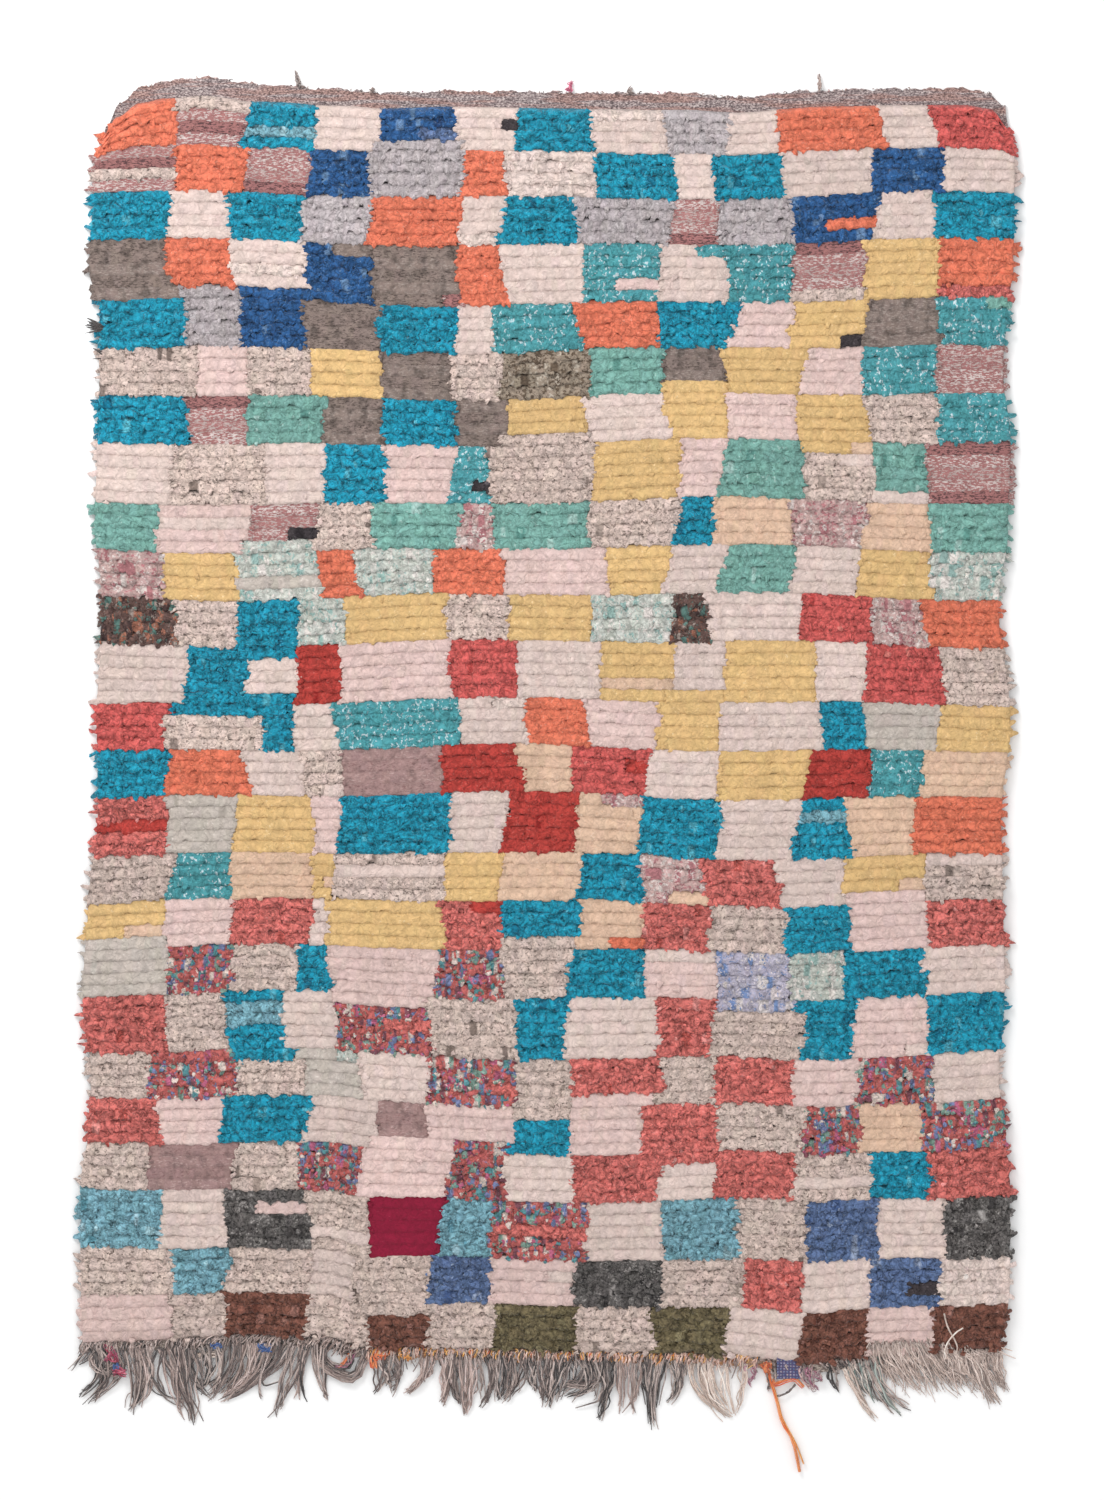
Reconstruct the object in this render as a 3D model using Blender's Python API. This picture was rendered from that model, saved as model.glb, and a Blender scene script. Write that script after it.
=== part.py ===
# Boucherouite rug lying flat: a shaggy woven cloth of rag knots, and the fringe of its warp ends.
# Units are metres, +Z is up, +Y runs towards the plain end of the rug, and the floor is z = 0.
# The origin is the middle of the cloth's underside.

import bisect
import math
import random

import bmesh
import bpy
from mathutils import Vector

# Plan of the cloth
CLOTH_WIDTH = 1.49
CLOTH_LENGTH = 2.06
EVEN_CELLS = 11
EDGE_LINES = (0.0, 0.013, 0.045)

# Heights above the floor
END_WEB_LENGTH = 0.032
END_WEB_HEIGHT = 0.007
END_WEB_LIP = 0.0056
VALLEY_HEIGHT = 0.013
CREST_HEIGHT = 0.021
CREST_SCATTER = 0.001
LUMP_HEIGHT = 0.0025
EDGE_HEIGHT = 0.010

# Rows of knots, each a rib across the rug that leans towards the fringe
RIB_COUNT = 106
CREST_SHARE = 0.6
RIB_WANDER = 0.002

# Locks that stick out of the rim, one at each end of a rib
RIM_LOCK_REACH = (0.003, 0.013)
RIM_LOCK_DROOP = (0.0, 0.5)
RIM_LOCK_TAPER = 0.7
WEB_WALLS = 1

# A side face stands nearly upright, and belongs to the side that its normal mostly points to
WALL_TILT = 0.3
WALL_FACING = 0.5

# Fringe of warp ends, fused into a woven band that is parted from the cloth's edge
BAND_GAP = 0.0015
BAND_WIDTH = 0.018
BAND_HEIGHT = 0.007
LOCK_COUNT = 92
LOCK_WIDTH_SHARE = 0.72
LOCK_STEPS = 4
LOCK_END_SHARE = 0.28
LOCK_SCATTER = (0.62, 1.0)
LOCK_SWAY = 0.0025
LOCK_BEND = 1.6

# How far each side stands outside the straight side, from the plain end (0) to the fringed end (1)
SIDE_LINES = [
    dict(down=0.00, left=-0.026, right=0.002),
    dict(down=0.03, left=-0.019, right=0.011),
    dict(down=0.06, left=-0.008, right=0.017),
    dict(down=0.15, left=0.001, right=0.015),
    dict(down=0.18, left=-0.016, right=0.005),
    dict(down=0.23, left=-0.016, right=-0.002),
    dict(down=0.29, left=-0.012, right=0.011),
    dict(down=0.35, left=-0.008, right=0.006),
    dict(down=0.41, left=-0.020, right=-0.009),
    dict(down=0.50, left=-0.012, right=0.010),
    dict(down=0.58, left=-0.013, right=-0.005),
    dict(down=0.65, left=0.003, right=-0.002),
    dict(down=0.72, left=0.012, right=0.001),
    dict(down=0.79, left=-0.002, right=-0.009),
    dict(down=0.83, left=0.002, right=0.002),
    dict(down=0.88, left=0.015, right=0.009),
    dict(down=0.95, left=0.014, right=0.009),
    dict(down=1.00, left=0.012, right=-0.006),
]

# How far the plain end and the fringed end of the cloth reach past the straight ends, and over which share
# of the length the rows of knots follow them
PLAIN_FADE = 0.07
FRINGED_FADE = 0.3
END_LINES = [
    dict(across=0.00, plain=-0.072, fringed=-0.008),
    dict(across=0.015, plain=-0.034, fringed=-0.009),
    dict(across=0.04, plain=-0.006, fringed=-0.010),
    dict(across=0.07, plain=0.004, fringed=-0.011),
    dict(across=0.11, plain=0.010, fringed=-0.014),
    dict(across=0.17, plain=-0.002, fringed=-0.021),
    dict(across=0.26, plain=-0.010, fringed=-0.018),
    dict(across=0.31, plain=-0.016, fringed=0.001),
    dict(across=0.38, plain=-0.013, fringed=0.001),
    dict(across=0.57, plain=-0.016, fringed=0.008),
    dict(across=0.64, plain=-0.016, fringed=0.010),
    dict(across=0.70, plain=-0.023, fringed=0.012),
    dict(across=0.79, plain=-0.012, fringed=0.026),
    dict(across=0.86, plain=-0.010, fringed=0.014),
    dict(across=0.95, plain=-0.008, fringed=0.008),
    dict(across=0.98, plain=-0.016, fringed=0.003),
    dict(across=1.00, plain=-0.056, fringed=0.000),
]

# Bunches of the fringe: how far the longest lock reaches, and how far its tip leans towards +X
BUNCHES = [
    dict(across=0.00, reach=0.035, lean=-0.012),
    dict(across=0.02, reach=0.090, lean=-0.014),
    dict(across=0.06, reach=0.105, lean=-0.010),
    dict(across=0.09, reach=0.070, lean=0.012),
    dict(across=0.12, reach=0.125, lean=0.014),
    dict(across=0.15, reach=0.075, lean=-0.020),
    dict(across=0.18, reach=0.085, lean=-0.034),
    dict(across=0.22, reach=0.110, lean=-0.022),
    dict(across=0.25, reach=0.080, lean=0.000),
    dict(across=0.28, reach=0.085, lean=0.006),
    dict(across=0.31, reach=0.040, lean=-0.004),
    dict(across=0.35, reach=0.055, lean=-0.018),
    dict(across=0.40, reach=0.082, lean=-0.008),
    dict(across=0.46, reach=0.070, lean=-0.010),
    dict(across=0.51, reach=0.078, lean=-0.004),
    dict(across=0.56, reach=0.095, lean=-0.020),
    dict(across=0.61, reach=0.115, lean=-0.002),
    dict(across=0.65, reach=0.060, lean=0.002),
    dict(across=0.68, reach=0.098, lean=0.030),
    dict(across=0.72, reach=0.045, lean=0.004),
    dict(across=0.78, reach=0.030, lean=0.006),
    dict(across=0.83, reach=0.082, lean=0.034),
    dict(across=0.87, reach=0.072, lean=0.030),
    dict(across=0.92, reach=0.050, lean=0.012),
    dict(across=0.98, reach=0.085, lean=0.004),
    dict(across=1.00, reach=0.045, lean=-0.004),
]

# The one long warp end, and the loose ends that stand out of the plain end and the left side
TAIL = dict(across=0.735, reach=0.175, lean=0.050, least_width=0.5)
PLAIN_END_WISPS = [
    dict(across=0.26, reach=0.024, lean=-0.006),
    dict(across=0.51, reach=0.018, lean=0.003),
    dict(across=0.80, reach=0.028, lean=0.000),
]
LEFT_SIDE_WISP = dict(down=0.185, reach=0.036, lean=0.010)
WISP_STEPS = 3
WISP_WIDTH = 0.006
WISP_HEIGHT_SHARE = 0.7
WISP_ROOT = 0.002

COLOURS = {
    "rag_pile": dict(colour=(0.62, 0.46, 0.41), roughness=0.95),
    "warp_fringe": dict(colour=(0.27, 0.23, 0.20), roughness=0.9),
}


def clear_scene():
    for old in list(bpy.data.objects):
        bpy.data.objects.remove(old)


def new_collection(name):
    made = bpy.data.collections.new(name)
    bpy.context.scene.collection.children.link(made)
    return made


def read_line(rows, key, column, at):
    # A column of a table at one place along its key, eased between its rows.
    stations = [row[key] for row in rows]
    after = min(max(bisect.bisect_right(stations, at), 1), len(rows) - 1)
    low, high = rows[after - 1], rows[after]
    share = (at - low[key]) / (high[key] - low[key])
    share = min(max(share, 0.0), 1.0)
    eased = share * share * (3 - 2 * share)
    return low[column] + (high[column] - low[column]) * eased


def plan_point(across, down):
    # Where a place on the cloth lies on the floor: shares of its width from -X and of its length from +Y.
    left = -CLOTH_WIDTH / 2 - read_line(SIDE_LINES, "down", "left", down)
    right = CLOTH_WIDTH / 2 + read_line(SIDE_LINES, "down", "right", down)
    plain = read_line(END_LINES, "across", "plain", across) * max(1 - down / PLAIN_FADE, 0.0)
    fringed = read_line(END_LINES, "across", "fringed", across) * max(1 - (1 - down) / FRINGED_FADE, 0.0)
    return Vector((left + (right - left) * across, CLOTH_LENGTH * (0.5 - down) + plain - fringed, 0.0))


def cross_shares():
    # The shares of the width at the lines of points: narrow cells along both sides, even cells between them.
    near = [line / CLOTH_WIDTH for line in EDGE_LINES]
    even = (1 - 2 * near[-1]) / EVEN_CELLS
    middle = [near[-1] + even * cell for cell in range(1, EVEN_CELLS)]
    return near + middle + [1 - share for share in reversed(near)]


def cloth_rows(random_source):
    # The rows of points from the plain end to the fringed end, as shares of the length with their heights.
    web_share = END_WEB_LENGTH / CLOTH_LENGTH
    rib_share = (1.0 - web_share) / RIB_COUNT
    rows = [
        dict(down=0.0, height=END_WEB_LIP, lump=0.0, wander=0.0),
        dict(down=web_share, height=END_WEB_HEIGHT, lump=0.0, wander=0.0),
    ]
    for rib in range(RIB_COUNT):
        top = web_share + rib * rib_share
        crest = top + rib_share * CREST_SHARE
        height = CREST_HEIGHT + random_source.uniform(-CREST_SCATTER, CREST_SCATTER)
        rows.append(dict(down=crest, height=height, lump=LUMP_HEIGHT, wander=RIB_WANDER))
        if rib < RIB_COUNT - 1:
            valley = top + rib_share
            rows.append(dict(down=valley, height=VALLEY_HEIGHT, lump=LUMP_HEIGHT / 2, wander=RIB_WANDER))
    rows.append(dict(down=1.0, height=EDGE_HEIGHT, lump=0.0, wander=0.0))
    return rows


def slab_from_grid(columns, rows, place):
    # A closed slab with a flat underside on the floor: place(column, row) gives each point of its top.
    mesh = bmesh.new()
    bmesh.ops.create_grid(mesh, x_segments=columns, y_segments=rows, size=1.0)
    for vert in mesh.verts:
        column = round((vert.co.x + 1) / 2 * columns)
        row = round((1 - vert.co.y) / 2 * rows)
        vert.co = place(column, row)
    rim = [edge for edge in mesh.edges if edge.is_boundary]
    walls = bmesh.ops.extrude_edge_only(mesh, edges=rim)["geom"]
    for vert in (item for item in walls if isinstance(item, bmesh.types.BMVert)):
        vert.co.z = 0.0
    bmesh.ops.holes_fill(mesh, edges=[edge for edge in mesh.edges if edge.is_boundary])
    bmesh.ops.recalc_face_normals(mesh, faces=mesh.faces)
    return mesh


def grow_lock(mesh, face, path, shares):
    # Draws a side face of the slab out along a path of steps, narrowing it while it keeps resting on the floor.
    narrowed = 1.0
    for step, share in zip(path, shares):
        face = bmesh.ops.extrude_discrete_faces(mesh, faces=[face])["faces"][0]
        foot = face.calc_center_median()
        foot.z = 0.0
        for vert in face.verts:
            vert.co = foot + (vert.co - foot) * (share / narrowed) + step
        narrowed = share


def curved_path(forward, sideways, steps, sway=0.0):
    # Equal steps forward that lean further sideways as they go, with a sway to and fro.
    points = []
    for step in range(steps + 1):
        share = step / steps
        bend = sideways * share**LOCK_BEND + sway * math.sin(share * math.tau)
        points.append(forward * share + Vector((-forward.y, forward.x, 0)).normalized() * bend)
    return [after - before for before, after in zip(points, points[1:])]


def wall_faces(mesh, outward):
    # The slab's side faces that look mostly along one direction.
    upright = [face for face in mesh.faces if abs(face.normal.z) < WALL_TILT]
    return [face for face in upright if face.normal.dot(outward) > WALL_FACING]


def make_cloth(collection):
    random_source = random.Random(7)
    rows = cloth_rows(random_source)
    shares = cross_shares()

    def place(column, row):
        facts = rows[row]
        point = plan_point(shares[column], facts["down"])
        point.y += facts["wander"] * random_source.uniform(-1, 1)
        point.z = facts["height"] + facts["lump"] * random_source.uniform(-1, 1)
        if column in (0, len(shares) - 1):
            point.z = min(point.z, VALLEY_HEIGHT)
        return point

    mesh = slab_from_grid(len(shares) - 1, len(rows) - 1, place)
    grow_rim_locks(mesh, random_source)
    grow_plain_end_wisps(mesh)
    grow_left_side_wisp(mesh)
    add_object("rag_pile", mesh, collection)


def grow_rim_locks(mesh, random_source):
    for side in (-1, 1):
        outward = Vector((side, 0, 0))
        faces = sorted(wall_faces(mesh, outward), key=lambda face: -face.calc_center_median().y)
        # The web has the first wall face, each rib the next two, and the upper one of them grows its lock.
        for face in faces[WEB_WALLS::2]:
            reach = random_source.uniform(*RIM_LOCK_REACH)
            droop = Vector((side * reach, -reach * random_source.uniform(*RIM_LOCK_DROOP), 0))
            grow_lock(mesh, face, [droop], [RIM_LOCK_TAPER])


def grow_wisp(mesh, face, forward, lean):
    # A wisp is a narrow strand, so the face that it grows from is first inset to the strand's width.
    width = max(edge.calc_length() for edge in face.edges)
    inner = bmesh.ops.extrude_discrete_faces(mesh, faces=[face])["faces"][0]
    foot = inner.calc_center_median()
    foot.z = 0.0
    along = Vector((-forward.y, forward.x, 0)).normalized()
    for vert in inner.verts:
        offset = vert.co - foot
        sideways = along * offset.dot(along)
        vert.co = foot + sideways * (WISP_WIDTH / width) + Vector((0, 0, offset.z * WISP_HEIGHT_SHARE))
        vert.co += forward.normalized() * WISP_ROOT
    shares = [1 - (1 - LOCK_END_SHARE) * (step + 1) / WISP_STEPS for step in range(WISP_STEPS)]
    grow_lock(mesh, inner, curved_path(forward, lean, WISP_STEPS), shares)


def grow_plain_end_wisps(mesh):
    forward = Vector((0, 1, 0))
    for wisp in PLAIN_END_WISPS:
        at = (wisp["across"] - 0.5) * CLOTH_WIDTH
        faces = wall_faces(mesh, forward)
        nearest = min(faces, key=lambda face: abs(face.calc_center_median().x - at))
        grow_wisp(mesh, nearest, forward * wisp["reach"], wisp["lean"])


def grow_left_side_wisp(mesh):
    forward = Vector((-1, 0, 0))
    at = (0.5 - LEFT_SIDE_WISP["down"]) * CLOTH_LENGTH
    faces = [face for face in wall_faces(mesh, forward) if len(face.verts) == 4]
    nearest = min(faces, key=lambda face: abs(face.calc_center_median().y - at))
    grow_wisp(mesh, nearest, forward * LEFT_SIDE_WISP["reach"], LEFT_SIDE_WISP["lean"])


def fringed_edge(across):
    # The cloth's fringed edge, straight between the points of its own grid.
    shares = cross_shares()
    after = min(max(bisect.bisect_right(shares, across), 1), len(shares) - 1)
    low, high = shares[after - 1], shares[after]
    return plan_point(low, 1.0).lerp(plan_point(high, 1.0), (across - low) / (high - low))


def make_fringe(collection):
    random_source = random.Random(21)
    gap_share = 1 - LOCK_WIDTH_SHARE

    def place(column, row):
        # The front of the band is divided into gaps and locks by turns, with a gap at each end.
        point = fringed_edge((column // 2 + column % 2 * gap_share) / (LOCK_COUNT + gap_share))
        point.y -= BAND_GAP + (BAND_WIDTH if row else 0.0)
        point.z = BAND_HEIGHT
        return point

    mesh = slab_from_grid(2 * LOCK_COUNT + 1, 1, place)
    forward = Vector((0, -1, 0))
    fronts = [face for face in wall_faces(mesh, forward) if len(face.verts) == 4]
    fronts.sort(key=lambda face: face.calc_center_median().x)
    shares = [1 - (1 - LOCK_END_SHARE) * (step + 1) / LOCK_STEPS for step in range(LOCK_STEPS)]
    tail_face = round(TAIL["across"] * LOCK_COUNT)
    for number, face in enumerate(fronts[1::2]):
        if number == tail_face:
            path = curved_path(forward * TAIL["reach"], TAIL["lean"], 2 * LOCK_STEPS, LOCK_SWAY)
            steady = [max(share, TAIL["least_width"]) for share in shares for _ in range(2)]
            grow_lock(mesh, face, path, steady)
            continue
        across = (number + 0.5) / LOCK_COUNT
        reach = read_line(BUNCHES, "across", "reach", across) * random_source.uniform(*LOCK_SCATTER)
        lean = read_line(BUNCHES, "across", "lean", across)
        sway = LOCK_SWAY * random_source.uniform(-1, 1)
        grow_lock(mesh, face, curved_path(forward * reach, lean, LOCK_STEPS, sway), shares)
    add_object("warp_fringe", mesh, collection)


def make_material(name):
    facts = COLOURS[name]
    material = bpy.data.materials.new(name)
    material.use_nodes = True
    shader = material.node_tree.nodes["Principled BSDF"]
    shader.inputs["Base Color"].default_value = (*facts["colour"], 1.0)
    shader.inputs["Roughness"].default_value = facts["roughness"]
    shader.inputs["Metallic"].default_value = 0.0
    return material


def add_object(name, mesh, collection):
    data = bpy.data.meshes.new(name)
    mesh.to_mesh(data)
    mesh.free()
    data.materials.append(make_material(name))
    made = bpy.data.objects.new(name, data)
    collection.objects.link(made)


def main():
    clear_scene()
    rug = new_collection("boucherouite_rug")
    make_cloth(rug)
    make_fringe(rug)


main()
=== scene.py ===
import math

import bpy
import numpy as np
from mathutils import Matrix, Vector


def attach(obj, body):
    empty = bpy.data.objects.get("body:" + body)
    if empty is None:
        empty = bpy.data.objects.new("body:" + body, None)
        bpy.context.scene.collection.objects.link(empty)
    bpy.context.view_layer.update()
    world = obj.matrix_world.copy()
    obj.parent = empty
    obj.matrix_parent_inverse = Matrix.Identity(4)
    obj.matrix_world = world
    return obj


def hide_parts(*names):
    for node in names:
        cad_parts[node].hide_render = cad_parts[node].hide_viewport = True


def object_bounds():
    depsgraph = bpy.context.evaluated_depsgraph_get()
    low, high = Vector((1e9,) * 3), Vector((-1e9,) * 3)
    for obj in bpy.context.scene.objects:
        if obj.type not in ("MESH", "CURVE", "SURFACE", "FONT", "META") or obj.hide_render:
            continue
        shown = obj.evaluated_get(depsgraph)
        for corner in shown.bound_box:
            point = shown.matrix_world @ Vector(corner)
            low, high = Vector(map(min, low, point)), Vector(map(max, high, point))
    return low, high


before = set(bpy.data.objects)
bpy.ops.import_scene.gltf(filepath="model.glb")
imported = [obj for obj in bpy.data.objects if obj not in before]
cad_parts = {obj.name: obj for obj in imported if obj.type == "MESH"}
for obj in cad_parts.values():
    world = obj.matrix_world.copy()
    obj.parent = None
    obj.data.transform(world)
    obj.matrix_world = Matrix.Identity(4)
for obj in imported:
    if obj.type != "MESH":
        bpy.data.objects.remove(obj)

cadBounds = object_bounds()
body = "root"
scene = bpy.context.scene


# the cloth's plan

cloth = {
    "width": 1.49,
    "length": 2.06,
    "rows": 106,            # rows of knots
    "webLength": 0.032,     # bare web at the plain end
    "bandWidth": 0.018,     # web that holds the fringe
    "rowSway": 0.0050,      # how far the rows wander
    "swayWaves": [(1.0, 7.1, 9.0, 0.0), (0.7, 15.7, -13.0, 1.3)],   # size, waves across and down, start
    "swayMargin": 0.08,     # share of the length at each end where the rows straighten
    "plainFade": 0.07,      # share of the length over which the plain end's outline fades
    "fringedFade": 0.3,     # and the fringed end's
    # how far each side stands out, from the plain end to the fringed end
    "sides": [
        (0.00, -0.026, 0.002), (0.03, -0.019, 0.011), (0.06, -0.008, 0.017), (0.15, 0.001, 0.015),
        (0.18, -0.016, 0.005), (0.23, -0.016, -0.002), (0.29, -0.012, 0.011), (0.35, -0.008, 0.006),
        (0.41, -0.020, -0.009), (0.50, -0.012, 0.010), (0.58, -0.013, -0.005), (0.65, 0.003, -0.002),
        (0.72, 0.012, 0.001), (0.79, -0.002, -0.009), (0.83, 0.002, 0.002), (0.88, 0.015, 0.009),
        (0.95, 0.014, 0.009), (1.00, 0.012, -0.006),
    ],
    # how far the plain end and the fringed end stand out, from left to right
    "ends": [
        (0.000, -0.072, -0.008), (0.015, -0.034, -0.009), (0.04, -0.006, -0.010), (0.07, 0.004, -0.011),
        (0.11, 0.010, -0.014), (0.17, -0.002, -0.021), (0.26, -0.010, -0.018), (0.31, -0.016, 0.001),
        (0.38, -0.013, 0.001), (0.57, -0.016, 0.008), (0.64, -0.016, 0.010), (0.70, -0.023, 0.012),
        (0.79, -0.012, 0.026), (0.86, -0.010, 0.014), (0.95, -0.008, 0.008), (0.98, -0.016, 0.003),
        (1.00, -0.056, 0.000),
    ],
}


def eased(share):
    # a share from 0 to 1 that starts and stops gently
    return share * share * (3 - 2 * share)


def easedLine(stops, column, at):
    # one column of a list of stops, eased between them
    stops = np.array(stops)
    at = np.asarray(at, float)
    after = np.clip(np.searchsorted(stops[:, 0], at, side="right"), 1, len(stops) - 1)
    low, high = stops[after - 1], stops[after]
    share = eased(np.clip((at - low[..., 0]) / (high[..., 0] - low[..., 0]), 0, 1))
    return low[..., column] + (high[..., column] - low[..., column]) * share


def clothPoint(across, down):
    # x and y of a place on the cloth, from its shares of the width and the length
    across, down = np.asarray(across, float), np.asarray(down, float)
    left = -cloth["width"] / 2 - easedLine(cloth["sides"], 1, down)
    right = cloth["width"] / 2 + easedLine(cloth["sides"], 2, down)
    plain = easedLine(cloth["ends"], 1, across) * np.maximum(1 - down / cloth["plainFade"], 0)
    fringed = easedLine(cloth["ends"], 2, across) * np.maximum(1 - (1 - down) / cloth["fringedFade"], 0)
    inside = np.clip(np.minimum(down, 1 - down) / cloth["swayMargin"], 0, 1)
    sway = sum(size * np.sin(across * wide + down * long + start)
               for size, wide, long, start in cloth["swayWaves"])
    y = cloth["length"] * (0.5 - down) + plain - fringed + cloth["rowSway"] * sway * inside
    return left + (right - left) * across, y


def rowShare(row):
    # share of the length at the top of a row of knots
    web = cloth["webLength"] / cloth["length"]
    return web + (1 - web) * np.asarray(row, float) / cloth["rows"]


# meshes

def linear(hexColour):
    # a hex colour as it shows, to the linear values that shaders take
    parts = [int(hexColour[i:i + 2], 16) / 255 for i in (0, 2, 4)]
    return np.array([c / 12.92 if c <= 0.04045 else ((c + 0.055) / 1.055) ** 2.4 for c in parts])


def meshFromQuads(name, points, quads, material, colours=(), values=(), uv=None):
    # one joined mesh from arrays of points and quads, with colours and values kept on its points
    points = np.asarray(points, np.float32).reshape(-1, 3)
    quads = np.asarray(quads, np.int32).reshape(-1, 4)
    mesh = bpy.data.meshes.new(name)
    mesh.vertices.add(len(points))
    mesh.vertices.foreach_set("co", points.ravel())
    mesh.loops.add(quads.size)
    mesh.loops.foreach_set("vertex_index", quads.ravel())
    mesh.polygons.add(len(quads))
    mesh.polygons.foreach_set("loop_start", np.arange(0, quads.size, 4, dtype=np.int32))
    mesh.polygons.foreach_set("use_smooth", np.full(len(quads), True))
    for label, colour in dict(colours).items():
        layer = mesh.attributes.new(label, "FLOAT_COLOR", "POINT")
        rgba = np.ones((len(points), 4), np.float32)
        rgba[:, :3] = np.asarray(colour).reshape(-1, 3)
        layer.data.foreach_set("color", rgba.ravel())
    for label, value in dict(values).items():
        layer = mesh.attributes.new(label, "FLOAT", "POINT")
        layer.data.foreach_set("value", np.asarray(value, np.float32).ravel())
    if uv is not None:
        layer = mesh.uv_layers.new(name="OFBake")
        layer.data.foreach_set("uv", np.asarray(uv, np.float32).reshape(-1, 2)[quads.ravel()].ravel())
    mesh.update(calc_edges=True)
    mesh.materials.append(material)
    made = bpy.data.objects.new(name, mesh)
    scene.collection.objects.link(made)
    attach(made, body)
    print(f"{name}: {2 * len(quads)} triangles")
    return made


def gridQuads(columns, rows, count=1):
    # quads of a grid of points, repeated for a number of such grids
    index = np.arange(columns * rows).reshape(rows, columns)
    one = np.stack([index[:-1, :-1], index[1:, :-1], index[1:, 1:], index[:-1, 1:]], -1).reshape(-1, 4)
    return (one[None] + (np.arange(count) * columns * rows)[:, None, None]).reshape(-1, 4)


bakeMargin = 0.02


def planMap(points):
    # a bake map that looks straight down on the rug
    low, high = np.array(cadBounds[0][:2]), np.array(cadBounds[1][:2])
    return (np.asarray(points).reshape(-1, 3)[:, :2] - low) / (high - low) * (1 - 2 * bakeMargin) + bakeMargin


# shader maths

class Wire:
    # an output socket: maths on it adds Math nodes
    def __init__(self, tree, socket):
        self.tree, self.socket = tree, socket

    def maths(self, operation, *others):
        return self.tree.node("ShaderNodeMath", {"operation": operation}, dict(enumerate((self, *others))))

    def __add__(self, other):
        return self.maths("ADD", other)

    __radd__ = __add__

    def __mul__(self, other):
        return self.maths("MULTIPLY", other)

    __rmul__ = __mul__

    def __sub__(self, other):
        return self.maths("SUBTRACT", other)

    def __rsub__(self, other):
        return self.tree.node("ShaderNodeMath", {"operation": "SUBTRACT"}, {0: other, 1: self})

    def __abs__(self):
        return self.maths("ABSOLUTE")

    def clamped(self):
        return self.maths("MAXIMUM", 0.0).maths("MINIMUM", 1.0)

    def sine(self):
        return self.maths("SINE")


class Finish:
    # a material under construction
    def __init__(self, name):
        self.material = bpy.data.materials.new(name)
        self.material.use_nodes = True
        self.nodes, self.links = self.material.node_tree.nodes, self.material.node_tree.links
        self.shader = self.nodes["Principled BSDF"]

    def node(self, kind, settings=None, sockets=None, out=0):
        made = self.nodes.new(kind)
        for label, value in (settings or {}).items():
            if label == "stops":
                ramp = made.color_ramp
                while len(ramp.elements) < len(value):
                    ramp.elements.new(1.0)
                for element, (place, colour) in zip(ramp.elements, value):
                    element.position, element.color = place, (*colour, 1.0)
            else:
                setattr(made, label, value)
        for label, value in (sockets or {}).items():
            self.plug(made.inputs[label], value)
        return Wire(self, made.outputs[out])

    def plug(self, socket, value):
        if isinstance(value, Wire):
            self.links.new(value.socket, socket)
        elif socket.type == "RGBA" and len(value) == 3:
            socket.default_value = (*value, 1.0)
        else:
            socket.default_value = value

    def place(self, stretch=(1, 1, 1)):
        # where a point lies in the rug, stretched
        at = self.node("ShaderNodeTexCoord", out="Object")
        return self.node("ShaderNodeVectorMath", {"operation": "MULTIPLY"}, {0: at, 1: stretch})

    def noise(self, at, scale, detail=2.0, roughness=0.5, distortion=0.0):
        # soft random values, centred on about a half
        return self.node("ShaderNodeTexNoise", {"noise_dimensions": "3D"}, {
            "Vector": at, "Scale": scale, "Detail": detail, "Roughness": roughness, "Distortion": distortion})

    def above(self, value, floor, steepness):
        # a mask: 0 up to the floor, and then rising to 1
        return ((value - floor) * steepness).clamped()

    def attribute(self, name, out="Color"):
        return self.node("ShaderNodeAttribute", {"attribute_name": name}, out=out)

    def stripes(self, at, axis, pitch):
        # smooth lines across one axis of the rug, from 0 to 1
        along = self.node("ShaderNodeSeparateXYZ", None, {0: at}, out=axis)
        return (along * (math.tau / pitch)).sine() * 0.5 + 0.5

    def mixColours(self, share, first, second):
        return self.node("ShaderNodeMix", {"data_type": "RGBA"}, {0: share, 6: first, 7: second}, out=2)

    def ramp(self, share, stops):
        # a colour ramp from places and hex colours
        stops = [(at, tuple(linear(colour))) for at, colour in stops]
        return self.node("ShaderNodeValToRGB", {"stops": stops}, {0: share})

    def dim(self, colour, value):
        # a colour or a direction, scaled by a value
        return self.node("ShaderNodeVectorMath", {"operation": "SCALE"}, {0: colour, "Scale": value})

    def shift(self, at, value, along):
        # a place moved along a direction by a value
        return self.node("ShaderNodeVectorMath", {"operation": "ADD"}, {0: at, 1: self.dim(along, value)})

    def wear(self, colour, roughness, height, strength, distance, **fixed):
        # what the finished surface takes: colour, roughness, relief and fixed values
        bump = self.node("ShaderNodeBump", None, {
            "Strength": strength, "Distance": distance, "Height": height})
        self.plug(self.shader.inputs["Base Color"], colour)
        self.plug(self.shader.inputs["Roughness"], roughness)
        self.plug(self.shader.inputs["Normal"], bump)
        for label, value in fixed.items():
            self.shader.inputs[label.replace("_", " ")].default_value = value
        return self.material


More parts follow.
